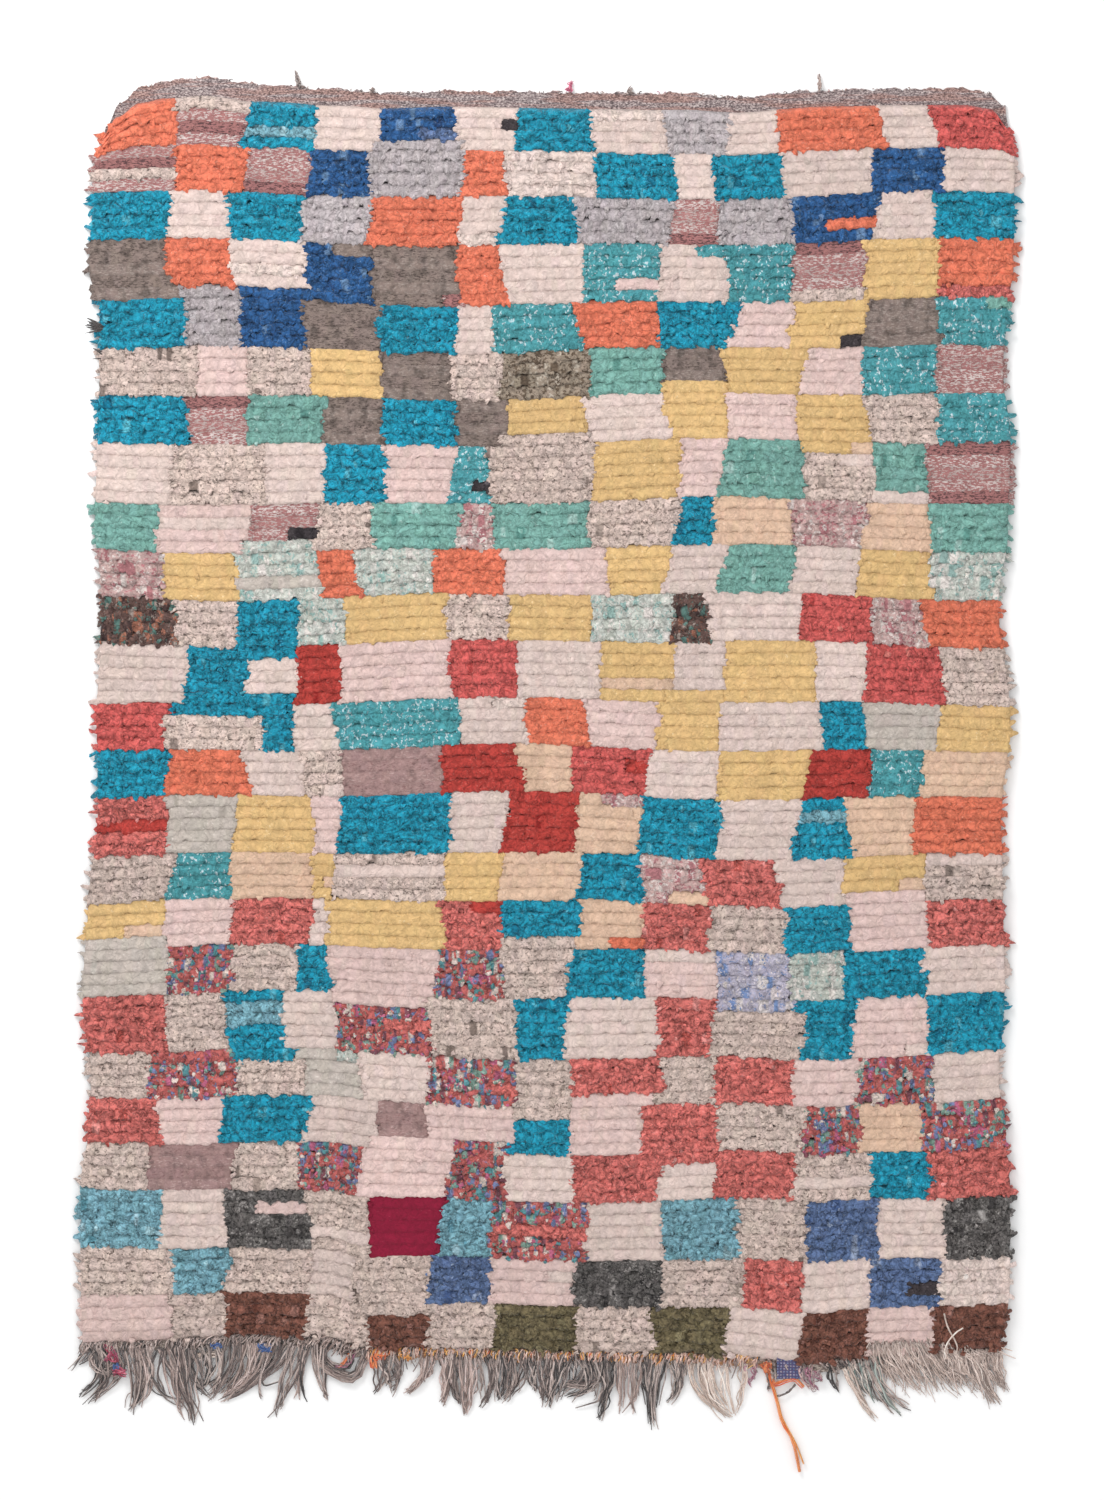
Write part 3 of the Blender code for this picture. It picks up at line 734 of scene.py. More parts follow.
def foldPoints(facts, luck):
    # small leaves of rag, root first, turned and set in their rows
    shapes, v = folds["shapes"], np.array(folds["stations"])[None, :, None]
    u = np.array([-1.0, 0.0, 1.0])[None, None, :]
    size = (shapes, v.shape[1], u.shape[2])
    narrowing = 1 - luck.uniform(*folds["narrowing"], (shapes, 1, 1)) * v ** 2
    arch = np.sin((0.12 + v * 0.72) * math.pi) * folds["arch"] * (1 - 0.45 * np.abs(u))
    strayX, strayY, strayZ = (luck.normal(0, stray, size) for stray in folds["stray"])
    leaf = np.stack([u * narrowing + strayX, folds["back"] - v + 0.12 * np.abs(u) * v + strayY,
                     arch + strayZ - folds["fall"] * v ** 3], -1)
    count = len(facts["row"])
    picks = leaf[luck.integers(shapes, size=count)]
    half, long, lift, droop, turn = (facts[fact][:, None, None] for fact in (
        "half", "long", "lift", "droop", "turn"))
    x, y = picks[..., 0] * half, picks[..., 1] * long
    # the teeth of the rim droop to the floor
    droop = droop * lift * np.clip(folds["back"] - picks[..., 1], 0, 1.2) ** 1.5 * 0.9
    rise = lift + picks[..., 2] - droop
    x, y = x * np.cos(turn) - y * np.sin(turn), x * np.sin(turn) + y * np.cos(turn)
    homeX, homeY = clothPoint(facts["across"], rowShare(facts["row"]))
    x, y = x + homeX[:, None, None], y + homeY[:, None, None]
    z = np.maximum(rise, folds["least"]) * pile["height"] + pile["ground"]
    # painted shade along each leaf
    shade = np.broadcast_to(np.array(folds["shade"])[None, :, None], z.shape)
    return np.stack([x, y, settled(x, y, z)], -1), shade


def ragColours(rag, tone, run, toss, luck):
    # each knot's own shade of its rag, one of the rag's fleck colours, and the amounts of flecks and blotches
    count = len(rag)
    base, second = np.empty((count, 3)), np.empty((count, 3))
    amount, blotch, crumple = np.empty(count), np.empty(count), np.empty(count)
    for number, (colour, flecks, share, patches, blotches, cut) in enumerate(rags.values()):
        which = np.flatnonzero(rag == number)
        flecks = np.array([linear(fleck) for fleck in flecks])
        base[which] = linear(colour)
        patched = which[luck.random(len(which)) < patches]
        base[patched] = flecks[luck.integers(len(flecks), size=len(patched))]
        # a flat rag's flecks are of one colour along a row
        picks = run[which] if cut == "flat" else luck.integers(len(flecks), size=len(which))
        second[which] = flecks[picks % len(flecks)]
        amount[which], blotch[which], crumple[which] = share, blotches, cuts[cut]["crumple"]
    base = base * tone[:, None] * luck.normal(1, pile["knotTone"], (count, 1))
    base = base * luck.normal(1, pile["knotHue"], base.shape)
    return np.clip(base, 0, 1), np.clip(second, 0, 1), amount, blotch, crumple, luck.uniform(0, toss, count)


def makePile(runs, luck):
    made = []
    for pieceName, (members, finish) in ragPiles.items():
        mine = [run for run in runs if run[3] in members]
        columns = runColumns(mine, luck)
        points, shade = runPoints(columns, luck)
        stations = points.shape[1]
        # neighbouring columns of one run are joined
        joins = np.flatnonzero(np.diff(columns["run"]) == 0)[:, None] * stations + np.arange(stations - 1)
        quads = np.stack([joins, joins + 1, joins + 1 + stations, joins + stations], -1).reshape(-1, 4)
        firstOfKnot = np.unique(columns["knot"], return_index=True)[1]
        perKnot = ragColours(*(columns[fact][firstOfKnot] for fact in ("rag", "tone", "run")), 0.0, luck)
        facts = layFolds(mine, luck)
        leaves, leafShade = foldPoints(facts, luck)
        perLeaf = ragColours(facts["rag"], facts["tone"], 0 * facts["rag"], folds["toss"], luck)
        leafQuads = gridQuads(3, leaves.shape[1], len(leaves)) + len(points) * stations
        kept = {label: np.concatenate([np.repeat(knot[columns["knot"]], stations, axis=0),
                                       np.repeat(leaf, leaves.shape[1] * 3, axis=0)])
                for label, knot, leaf in zip(("rag", "fleck", "fleckShare", "blotch", "crumple", "toss"),
                                             perKnot, perLeaf)}
        # painted shade of the runs and leaves, kept as the depth attribute
        kept["depth"] = np.concatenate([shade.ravel(), leafShade.ravel()])
        colours = {label: kept.pop(label) for label in ("rag", "fleck")}
        allPoints = np.concatenate([points.reshape(-1, 3), leaves.reshape(-1, 3)])
        made.append(meshFromQuads(pieceName, allPoints, np.concatenate([quads, leafQuads]),
                                  ragFinish(*finish), colours, kept, planMap(allPoints)))
    return made


# ground cloth and webs

ground = {
    "columns": 140, "thickness": 0.0024, "underside": 0.0002,
    "inset": 0.004,         # how far its sides lie under the pile
    "start": 0.002,         # share of the length where it begins
    "warp": "A79B90", "warpPitch": 0.0062, "weftPitch": 0.0064,
    "backTone": 0.85,       # how much darker the backs of the knots are
}


def makeGround(bands):
    # the woven ground: a thin cloth, whose back shows the backs of the knots
    columns, rowCount = ground["columns"], cloth["rows"] + 4
    across, down = np.meshgrid(np.linspace(0, 1, columns), np.linspace(ground["start"], 1, rowCount))
    x, y = clothPoint(across, down)
    x = x * (1 - ground["inset"] / (cloth["width"] / 2))
    colours = np.empty((rowCount, columns, 3))
    colours[:] = linear(ground["warp"])
    row = (down - rowShare(0)) / (1 - rowShare(0)) * cloth["rows"]
    for band in bands:
        inBand = (row >= band["firstRow"]) & (row < band["firstRow"] + band["rows"])
        block = np.clip(np.searchsorted(band["borders"], across, side="right") - 1, 0, len(band["rags"]) - 1)
        palette = np.array([linear(rags[rag][0]) for rag in band["rags"]])
        colours[inBand] = palette[block[inBand]] * ground["backTone"]
    points = np.concatenate([np.stack([x, y, np.full_like(x, ground[height])], -1).reshape(-1, 3)
                             for height in ("thickness", "underside")])
    quads, count = gridQuads(columns, rowCount), x.size
    index = np.arange(count).reshape(x.shape)
    rim = np.concatenate([index[0, :-1], index[:-1, -1], index[-1, :0:-1], index[:0:-1, 0]])
    after = np.roll(rim, -1)
    walls = np.stack([rim, after, after + count, rim + count], -1)
    return meshFromQuads(
        "groundCloth", points, np.concatenate([quads, quads[:, ::-1] + count, walls]), groundFinish(),
        {"rag": np.concatenate([colours.reshape(-1, 3)] * 2)}, uv=planMap(points))


def groundFinish():
    # on the back: small dashes of rag between lines of warp
    finish = Finish("wovenGround")
    at = finish.place()
    warp = finish.stripes(at, "X", ground["warpPitch"])
    weft = finish.stripes(at, "Y", ground["weftPitch"])
    mottle = finish.noise(at, 160.0, 3.0, 0.6)
    mask = finish.above(warp * 0.7 + weft * 0.6 + mottle * 0.6, 1.05, 4.0)
    colour = finish.mixColours(mask, finish.attribute("rag"), tuple(linear(ground["warp"])))
    relief = warp * 0.4 + weft * 0.6 + mottle * 0.5
    return finish.wear(finish.dim(colour, mottle * 0.5 + 0.7), 0.9, relief, 0.7, 0.0015, Sheen_Weight=0.1)


plainWeb = {
    "columns": 420, "picks": 10, "warpPitch": 0.0085, "thickness": 0.0068, "ridge": 0.0012,
    "underPile": 0.006,     # share of the length that goes on under the first knots
    "fray": 0.0012,         # how far the edge wanders in and out
    "fraySpan": 15,         # over how many columns
    "stray": 0.0006,        # and how far single picks stand out of it
    "rough": 0.0002,
    "edgeHeight": 0.0022,
    "lip": (0.0008, 0.0004),                # how far the edge turns under, and its height there
    "wools": [(0.31, "3A3031"), (0.41, "655859"), (0.50, "8D7E7E"), (0.58, "B4A4A2"), (0.68, "DFD3CE")],
    "stretches": ["A5595B", "85796C"],      # lengths of redder and browner wool
    "curls": 130,
    "curlWools": [("grey", 0.35), ("fawn", 0.50), ("pink", 0.15)],
    "curlRadius": 0.0009,
    "curlSizes": (0.0008, 0.0026),
    "curlHeights": (0.0045, 0.0020),
}


def makePlainWeb(luck):
    # the flat woven end: thick marled picks of weft, with a slightly ragged edge
    rows, span = plainWeb["picks"] * 3 + 1, plainWeb["fraySpan"]
    share = np.linspace(0, 1, rows)
    webShare = float(rowShare(0)) + plainWeb["underPile"]
    across, down = np.meshgrid(np.linspace(0.0, 1.0, plainWeb["columns"]), share * webShare)
    x, y = clothPoint(across, down)
    fray = np.cumsum(luck.normal(0, plainWeb["fray"], x.shape[1]))
    fray -= np.convolve(fray, np.ones(span) / span, mode="same")
    y += (fray + luck.normal(0, plainWeb["stray"], len(fray)))[None] * (1 - share[:, None]) ** 2
    pick = share[:, None] * plainWeb["picks"]
    crossing = np.cos(across * cloth["width"] / plainWeb["warpPitch"] * math.pi + np.floor(pick) * math.pi)
    roll = np.abs(np.sin(pick * math.pi))
    # its thickness rises and falls gently along the edge
    thickness = plainWeb["thickness"] * (0.80 + 0.2 * np.sin(across * 61 + 2 * np.sin(across * 23)))
    z = thickness - plainWeb["ridge"]
    z = z + plainWeb["ridge"] * (roll * (0.75 + 0.35 * crossing)) + luck.normal(0, plainWeb["rough"], x.shape)
    z[0] = plainWeb["edgeHeight"]
    top = np.stack([x, y, z], -1)
    lip = top[:1].copy()
    lip[..., 1] -= plainWeb["lip"][0]
    lip[..., 2] = plainWeb["lip"][1]
    points = np.concatenate([lip, top])
    return meshFromQuads("plainEndWeb", points, gridQuads(plainWeb["columns"], rows + 1), plainWebFinish(),
                         uv=planMap(points))


def plainWebFinish():
    # marled yarn: short dashes of several wools along the weft, in places redder or browner
    finish = Finish("marledWeb")
    dashes = finish.noise(finish.place((260.0, 470.0, 60.0)), 1.0, 2.5, 0.75)
    colour = finish.ramp(dashes, plainWeb["wools"])
    depth = finish.above(dashes, 0.38, 4.6) * 1.25 + 0.40
    for seed, wool in enumerate(plainWeb["stretches"]):
        reach = finish.noise(finish.place((8.0, 95.0, 1.0 + seed)), 1.0, 2.0, 0.6)
        share = finish.above(reach, 0.47, 9.0) * 0.45
        colour = finish.mixColours(share, colour, finish.dim(tuple(linear(wool)), depth))
    fine = finish.noise(finish.place((1.0, 2.0, 1.0)), 900.0, 1.0)
    return finish.wear(finish.dim(colour, fine * 0.5 + 0.72), 0.9, dashes * 0.7 + fine * 0.3, 0.9, 0.0018,
                       Sheen_Weight=0.2)


fringeWeb = {
    "columns": 560, "picks": 5, "warpPitch": 0.0062, "height": 0.0062,
    "underRow": 0.004,      # how far it goes in under the last row
    "waves": [(0.0014, 190, 0), (0.0012, 411, 2)],      # of its edge: size, waves across, start
    "rough": 0.00018,
    "edgeHeight": 0.0006,
    "heather": [(0.32, "6A5E5C"), (0.45, "978880"), (0.56, "C0B0A5"), (0.66, "D9CCC1")],
    "bright": [(0.32, "A87460"), (0.43, "DFA06B"), (0.52, "DDB79A"), (0.62, "CFA898")],
    "brightFrom": 0.305, "brightTo": 0.745,             # the stretch that is packed with bright weft
    "brightFade": 0.02,
}


def makeFringeWeb(luck):
    # the narrow band of weft that the warp ends come out of
    rows = fringeWeb["picks"] * 3 + 1
    across, deep = np.meshgrid(np.linspace(0.0, 1.0, fringeWeb["columns"]), np.linspace(0, 1, rows))
    x, y = clothPoint(across, np.ones_like(across))
    wave = sum(size * np.sin(across * often + start) for size, often, start in fringeWeb["waves"])
    y = y + fringeWeb["underRow"] - deep * (cloth["bandWidth"] + fringeWeb["underRow"]) + wave * deep
    roll = np.abs(np.sin(deep * fringeWeb["picks"] * math.pi))
    warpRib = np.abs(np.sin(across * cloth["width"] / fringeWeb["warpPitch"] * math.pi))
    z = fringeWeb["height"] * (1 - 0.35 * deep ** 2) * (0.72 + 0.16 * roll + 0.16 * warpRib)
    z = z + luck.normal(0, fringeWeb["rough"], z.shape)
    z[-1] = fringeWeb["edgeHeight"]
    points = np.stack([x, y, z], -1)
    bright = (np.clip((across - fringeWeb["brightFrom"]) / fringeWeb["brightFade"], 0, 1)
              * np.clip((fringeWeb["brightTo"] - across) / fringeWeb["brightFade"], 0, 1))
    return meshFromQuads("fringeWeb", points, gridQuads(fringeWeb["columns"], rows), fringeWebFinish(),
                         values={"bright": bright}, uv=planMap(points))


def fringeWebFinish():
    # heather weft, and patches of bright weft along its stretch
    finish = Finish("packedWeft")
    dashes = finish.noise(finish.place((160.0, 300.0, 60.0)), 1.0, 2.0, 0.7)
    patch = finish.above(finish.noise(finish.place((26.0, 90.0, 1.0)), 1.0), 0.34, 8.0)
    heather, bright = (finish.ramp(dashes, fringeWeb[weft]) for weft in ("heather", "bright"))
    colour = finish.mixColours(finish.attribute("bright", "Fac") * patch, heather, bright)
    fine = finish.noise(finish.place(), 800.0, 1.0)
    return finish.wear(finish.dim(colour, fine * 0.5 + 0.7), 0.9, dashes * 0.7 + fine * 0.3, 0.9, 0.0018,
                       Sheen_Weight=0.2)


# yarn

# wools of the warp and weft: pairs of plies, one of which each strand takes
wools = {
    "grey": [("786864", "A18F89"), ("9A8882", "C3B0A9"), ("B2A19A", "D3C0B9"), ("5A4D4B", "887773"),
             ("493F3E", "756662")],
    "fawn": [("9A847D", "C6AEA6"), ("B09B94", "D7C2BA"), ("786660", "A8948E"), ("AF9992", "DBC6C1")],
    "dark": [("3A3535", "6A605E"), ("5B5150", "91827D"), ("8D7F7A", "C2B1AC"), ("343030", "58504F"),
             ("A5968F", "CDBCB5")],
    "cream": [("DAC5B9", "F0DFD4"), ("C7B1A5", "E3D0C5"), ("E2CFC4", "F6E9E0"), ("BCA699", "DAC8BC")],
    "sand": [("D0BAB0", "EBD7CE"), ("BBA79D", "DFCABF"), ("A08E86", "CAB5AC"), ("DDCAC1", "F4E1D8")],
    "teal": [("8A908C", "BFBDB8"), ("6F6C68", "A8A29D"), ("C3B7AE", "DED0C7"), ("84958F", "AFB8B1")],
    "tan": [("CA9E91", "F5CFBE"), ("BA9486", "EBC5B7"), ("DDB5A4", "FDDCCE")],
    "pink": [("B48A8A", "D8BDB8"), ("8A7578", "B9A6A5"), ("A0607A", "C79AA6")],
    "rosePink": [("D0507A", "E68CA4")],
    "orange": [("DD6F3C", "EC9A66"), ("D55C3C", "E98A62")],
    "amber": [("DE9A45", "EFC486"), ("E08C3C", "ECB068")],
    "crimson": [("A02A4B", "C85F76"), ("8F2540", "A0506A"), ("B8405E", "D98A98")],
    "navy": [("2F4D86", "5C78AC")],
    "black": [("2B2829", "4C4646"), ("3A3534", "5F5856")],
}

yarn = {
    "sides": 4,
    "plyPitch": 0.0105,     # length of one turn of the plies
    "tone": 0.10,           # how much lighter or darker single yarns are
    "lowest": 0.0003,
}


def thousandths(values):
    return [round(value / 1000, 4) for value in values]


# in the lists, places across are thousandths of the cloth's width, and lengths are millimetres
fringe = {
    "steps": 11,
    "radius": 0.0015,
    "fineWool": "sand",     # whose strands are thinner
    "fineShare": 0.75,
    "strandShare": 0.74,    # how many of the strands of each bunch are made
    "kink": 0.0018,         # how far the strands wave
    "tuck": 0.005,          # how far their roots lie inside the web's edge
    "stray": 0.002,         # how far single roots and bends are off
    "fullness": 0.23,       # how much of a bunch's width is left in its bend
    "tipHeight": 0.0013,
    "rootHeight": 0.0090,
    "rootClimb": 0.55,      # how much higher it is for each metre that a root lies back on the pile
    "bow": 0.0050,          # how far the strands rise between
    "spread": 0.0012,       # and how far they lie over each other
    # first and last root, how far past the cloth, the middle of the bend and how far past, the tip and how
    # far past, half width of the tip, strands, wool
    "bunches": [
        (2, 17, 4, 4, 16, -12, 44, 4.9, 7, "dark"),
        (4, 32, 3, 19, 50, -6, 88, 4.9, 9, "dark"),
        (10, 49, 7, 32, 57, 6, 98, 6.5, 26, "grey"),
        (39, 73, 11, 60, 68, 52, 118, 6.5, 34, "grey"),
        (47, 76, 16, 71, 62, 64, 101, 4.9, 10, "fawn"),
        (71, 91, 17, 79, 72, 113, 105, 4.9, 7, "dark"),
        (82, 126, 19, 111, 74, 122, 139, 6.5, 36, "grey"),
        (84, 113, 18, 102, 84, 109, 130, 4.9, 12, "fawn"),
        (102, 133, 23, 124, 59, 137, 90, 13, 14, "dark"),
        (128, 163, 23, 143, 59, 128, 86, 11.4, 20, "dark"),
        (143, 182, 26, 156, 64, 139, 97, 9.8, 28, "grey"),
        (172, 210, 26, 180, 68, 150, 104, 6.5, 30, "fawn"),
        (195, 230, 25, 195, 65, 156, 100, 8.1, 26, "grey"),
        (182, 228, 28, 195, 55, 167, 85, 13, 18, "dark"),
        (202, 213, 35, 195, 78, 198, 104, 3.3, 4, "dark"),
        (226, 248, 24, 223, 80, 209, 134, 4.9, 16, "grey"),
        (237, 250, 27, 237, 69, 233, 105, 3.3, 7, "fawn"),
        (237, 252, 27, 237, 59, 245, 103, 3.3, 6, "dark"),
        (250, 270, 23, 261, 65, 268, 103, 3.3, 12, "grey"),
        (315, 344, 17, 331, 46, 316, 71, 6.5, 14, "grey"),
        (320, 348, 17, 337, 46, 336, 74, 8.1, 16, "grey"),
        (365, 383, 17, 369, 50, 353, 74, 4.9, 18, "fawn"),
        (387, 411, 20, 396, 59, 391, 92, 3.3, 22, "fawn"),
        (396, 418, 20, 407, 66, 412, 88, 4.9, 14, "grey"),
        (407, 433, 20, 420, 65, 416, 109, 3.3, 20, "fawn"),
        (429, 455, 15, 442, 58, 434, 92, 4.9, 20, "grey"),
        (448, 472, 14, 457, 54, 453, 85, 4.9, 16, "dark"),
        (457, 483, 14, 470, 53, 457, 86, 4.9, 20, "grey"),
        (483, 498, 13, 489, 45, 493, 68, 3.3, 12, "dark"),
        (492, 520, 15, 504, 51, 505, 84, 8.1, 22, "grey"),
        (505, 533, 15, 516, 51, 510, 85, 8.1, 22, "dark"),
        (527, 555, 14, 540, 43, 519, 67, 6.5, 16, "dark"),
        (538, 568, 14, 555, 53, 527, 73, 4.9, 18, "dark"),
        (553, 575, 17, 566, 69, 540, 90, 3.3, 8, "dark"),
        (564, 583, 13, 572, 62, 563, 111, 3.3, 16, "dark"),
        (583, 593, 16, 588, 59, 587, 101, 3.3, 9, "fawn"),
        (596, 607, 16, 601, 61, 588, 99, 3.3, 5, "fawn"),
        (596, 607, 16, 600, 61, 601, 102, 3.3, 4, "fawn"),
        (606, 638, 12, 619, 57, 622, 121, 4.9, 40, "dark"),
        (633, 653, 11, 647, 50, 638, 80, 3.3, 15, "dark"),
        (653, 686, 12, 678, 65, 706, 102, 4.9, 26, "cream"),
        (679, 705, 14, 697, 58, 711, 100, 4.9, 12, "cream"),
        (714, 723, 13, 718, 50, 713, 95, 3.3, 7, "cream"),
        (721, 734, 13, 727, 29, 729, 48, 4.9, 7, "pink"),
        (742, 756, 18, 751, 37, 747, 51, 3.3, 5, "dark"),
        (779, 795, 5, 790, 25, 800, 47, 4.9, 14, "pink"),
        (810, 821, 19, 817, 35, 825, 52, 3.3, 8, "dark"),
        (823, 838, 13, 843, 58, 863, 104, 3.3, 14, "cream"),
        (832, 856, 6, 849, 39, 864, 71, 6.5, 24, "teal"),
        (838, 860, 0, 862, 46, 881, 93, 3.3, 12, "grey"),
        (843, 867, 1, 869, 53, 892, 100, 3.3, 12, "teal"),
        (849, 869, 14, 875, 57, 903, 87, 3.3, 8, "grey"),
        (854, 880, -22, 873, 14, 887, 48, 13, 34, "sand"),
        (860, 897, -25, 891, 19, 909, 58, 13, 46, "sand"),
        (882, 921, -23, 915, 21, 930, 65, 14.7, 54, "sand"),
        (906, 945, -14, 939, 26, 954, 62, 14.7, 54, "sand"),
        (932, 967, -6, 960, 31, 976, 67, 13, 50, "sand"),
        (954, 987, 1, 980, 41, 994, 96, 8.1, 50, "sand"),
        (973, 1000, 3, 993, 37, 1004, 67, 6.5, 40, "sand"),
        (989, 1000, 8, 997, 31, 1001, 47, 4.9, 14, "sand"),
    ],
    # single ends, loops and the long bright end: places along them, half width, strands, radius, wool
    "followed": [
        ([(747, 20), (756, 65), (761, 93), (773, 127), (781, 177)], 1.3, 8, 1.4, "orange"),
        ([(746, 22), (757, 67), (762, 94), (776, 130), (785, 164)], 0.8, 4, 1.1, "amber"),
        ([(747, 12), (753, 38), (765, 31), (776, 26), (785, 39)], 1.4, 5, 1.3, "orange"),
        ([(740, 8), (747, 26), (752, 44)], 3, 9, 1.4, "orange"),
        ([(776, 34), (767, 49), (756, 57)], 0.8, 3, 1, "dark"),
        ([(293, 0), (288, 25), (278, 47)], 1, 4, 1.2, "orange"),
        ([(300, 6), (291, 34), (276, 48)], 2.4, 6, 1.2, "pink"),
        ([(95, 43), (112, 36), (130, 28), (152, 30)], 3.4, 12, 1.2, "cream"),
        ([(252, -4), (256, 32), (276, 55), (297, 50), (309, 8)], 4, 16, 1.3, "grey"),
        ([(262, 30), (272, 44), (290, 36), (290, 18), (272, 14), (262, 28)], 2.4, 9, 1.2, "dark"),
        ([(300, 2), (309, 12), (303, 36), (290, 52)], 1.8, 6, 1.2, "dark"),
        ([(18, 6), (10, 32), (24, 50), (40, 36), (34, 12)], 2.8, 9, 1.2, "grey"),
        ([(14, 14), (18, 40), (34, 58), (48, 46)], 2.2, 8, 1.2, "dark"),
        ([(204, 18), (196, 66), (199, 83), (216, 74)], 0.6, 3, 1, "dark"),
        ([(571, 8), (566, 40), (548, 54), (528, 52)], 3.2, 12, 1.2, "grey"),
        ([(640, 20), (628, 40), (612, 54)], 0.5, 2, 0.9, "fawn"),
    ],
    # tangles: middle, how far past the cloth, half sizes, strands, wool
    "tangles": [
        (32, 18, 12, 16, 8, "crimson"), (41, 48, 12, 10, 7, "crimson"), (38, 40, 6, 6, 2, "navy"),
        (199, 20, 12, 7, 9, "navy"), (146, 14, 10, 6, 3, "navy"), (323, 8, 11, 12, 10, "orange"),
        (317, 22, 6, 12, 4, "orange"), (352, 12, 12, 9, 6, "amber"), (412, 4, 8, 6, 4, "pink"),
        (746, 12, 7, 10, 7, "orange"), (800, 20, 8, 10, 7, "pink"),
    ],
    "tangleRadius": 0.0013,
    "tangleHeights": (0.0092, 0.0025, 0.0010),          # lowest, spread of single strands, wave along them
    "followedHeights": (0.0026, 0.0055, 0.0010),
    # short bent ends over the web: first and last root, reach, lean, ends, wool
    "stubs": [
        (0, 130, 22, -4, 80, "fawn"), (120, 310, 24, -12, 120, "fawn"), (0, 310, 22, -7, 130, "dark"),
        (310, 740, 21, -4, 270, "tan"), (310, 740, 18, -3, 110, "amber"), (310, 740, 15, -2, 26, "orange"),
        (310, 740, 17, -5, 56, "dark"), (740, 860, 16, 6, 40, "fawn"), (310, 740, 34, -6, 90, "grey"),
        (340, 620, 30, 4, 60, "dark"), (800, 880, 18, 8, 26, "dark"), (870, 1000, 22, 16, 60, "sand"),
    ],
    "stubRadius": 0.00115,
    "stubHeights": (0.0098, 0.0018, 0.0020),
    "stubFall": 0.42,       # how much lower their tips are
    "stubRoots": 0.003,     # how far their roots lie from the cloth's end
    "stubStray": 0.0026,
}

# ends that stand out of the plain end (place, reach and lean in thousandths, wool), and dark ones that stand
# out of the left side (share of the way down and reach in thousandths, ends)
wisps = {
    "ends": [(216, 27, -8, "grey"), (296, 6, 2, "fawn"), (515, 19, 4, "rosePink"), (583, 8, 2, "grey"),
             (792, 27, 1, "fawn")],
    "endRadius": 0.0010,
    "strands": 9,
    "root": 0.003,          # half width of an end's root, as a share of the width
    "sides": [(197, 20, 26), (196, 34, 3), (217, 12, 4)],
    "sideRadius": 0.0013,
    "sideRoot": 0.012,      # how far inside the rim a side's ends start
    "sideStray": 0.0035,
    "sideReach": (0.60, 1.0),
    "sideFan": (-0.30, 0.22),               # mean slope of the ends, and how much they differ
    "sideHeights": (0.008, 0.014),          # height at the root, and how far they rise
}


def sweepYarns(name, paths, radii, pairs, material, luck):
    # tubes along many paths of equal length in points, with two plies' colours and the winding of the plies
    count, steps = paths.shape[:2]
    heading = np.gradient(paths, axis=1)
    heading /= np.linalg.norm(heading, axis=2, keepdims=True) + 1e-9
    side = np.cross(heading, [0, 0, 1.0])
    side /= np.linalg.norm(side, axis=2, keepdims=True) + 1e-9
    up = np.cross(side, heading)
    angle = np.linspace(0, math.tau, yarn["sides"], endpoint=False)
    ring = np.cos(angle)[:, None] * side[:, :, None] + np.sin(angle)[:, None] * up[:, :, None]
    points = paths[:, :, None] + ring * radii[:, :, None, None]
    points[..., 2] = np.maximum(points[..., 2], yarn["lowest"])
    index = np.arange(count * steps * yarn["sides"]).reshape(count, steps, yarn["sides"])
    around = np.roll(index, -1, axis=2)
    quads = np.stack([index[:, :-1], around[:, :-1], around[:, 1:], index[:, 1:]], -1).reshape(-1, 4)
    legs = np.linalg.norm(np.diff(paths, axis=1), axis=2)
    length = np.concatenate([np.zeros((count, 1)), np.cumsum(legs, axis=1)], axis=1)[:, :, None]
    twist = length / yarn["plyPitch"] + angle / math.tau + luck.random((count, 1, 1))
    tone = luck.normal(1, yarn["tone"], (count, 1))
    colours = {label: np.repeat(np.clip(colour * tone, 0, 1), steps * yarn["sides"], axis=0)
               for label, colour in zip(("yarn", "ply"), np.swapaxes(pairs, 0, 1))}
    # the winding is kept as a sine, so that it blends rightly past the last side
    along = np.broadcast_to(np.linspace(0, 1, steps)[None, :, None], twist.shape)
    values = {"wind": np.sin(twist * math.tau), "along": along}
    flat = points.reshape(-1, 3)
    return meshFromQuads(name, flat, quads, material, colours, values, planMap(flat))


def yarnFinish(name):
    # two plies wound together, with loose fibres, darker towards the root
    finish = Finish(name)
    wound = finish.attribute("wind", "Fac")
    fuzz = finish.noise(finish.place(), 520.0, 2.0, 0.6)
    mask = ((wound + (fuzz - 0.5) * 2.0) * 1.6 + 0.5).clamped()
    colour = finish.mixColours(mask, finish.attribute("yarn"), finish.attribute("ply"))
    rooted = 0.80 + 0.20 * (finish.attribute("along", "Fac") * 5.0).clamped()
    relief = abs(wound) * 0.7 + fuzz * 0.4
    return finish.wear(finish.dim(colour, (fuzz * 0.6 + 0.70) * rooted), 0.88, relief, 0.8, 0.0012,
                       Sheen_Weight=0.25)


class Skein:
    # paths of yarn gathered for one mesh
    def __init__(self, luck):
        self.luck, self.paths, self.radii, self.pairs = luck, [], [], []

    def add(self, paths, radius, wool, taper):
        count, steps = paths.shape[:2]
        narrowing = 1 - taper * np.linspace(0, 1, steps) ** 3
        self.paths.append(paths)
        self.radii.append(radius * self.luck.uniform(0.75, 1.2, (count, 1)) * narrowing)
        plies = np.array([[linear(ply) for ply in pair] for pair in wools[wool]])
        self.pairs.append(plies[self.luck.integers(len(plies), size=count)])

    def sweep(self, name, finish):
        paths, radii, pairs = (np.concatenate(parts) for parts in (self.paths, self.radii, self.pairs))
        return sweepYarns(name, paths, radii, pairs, yarnFinish(finish), self.luck)


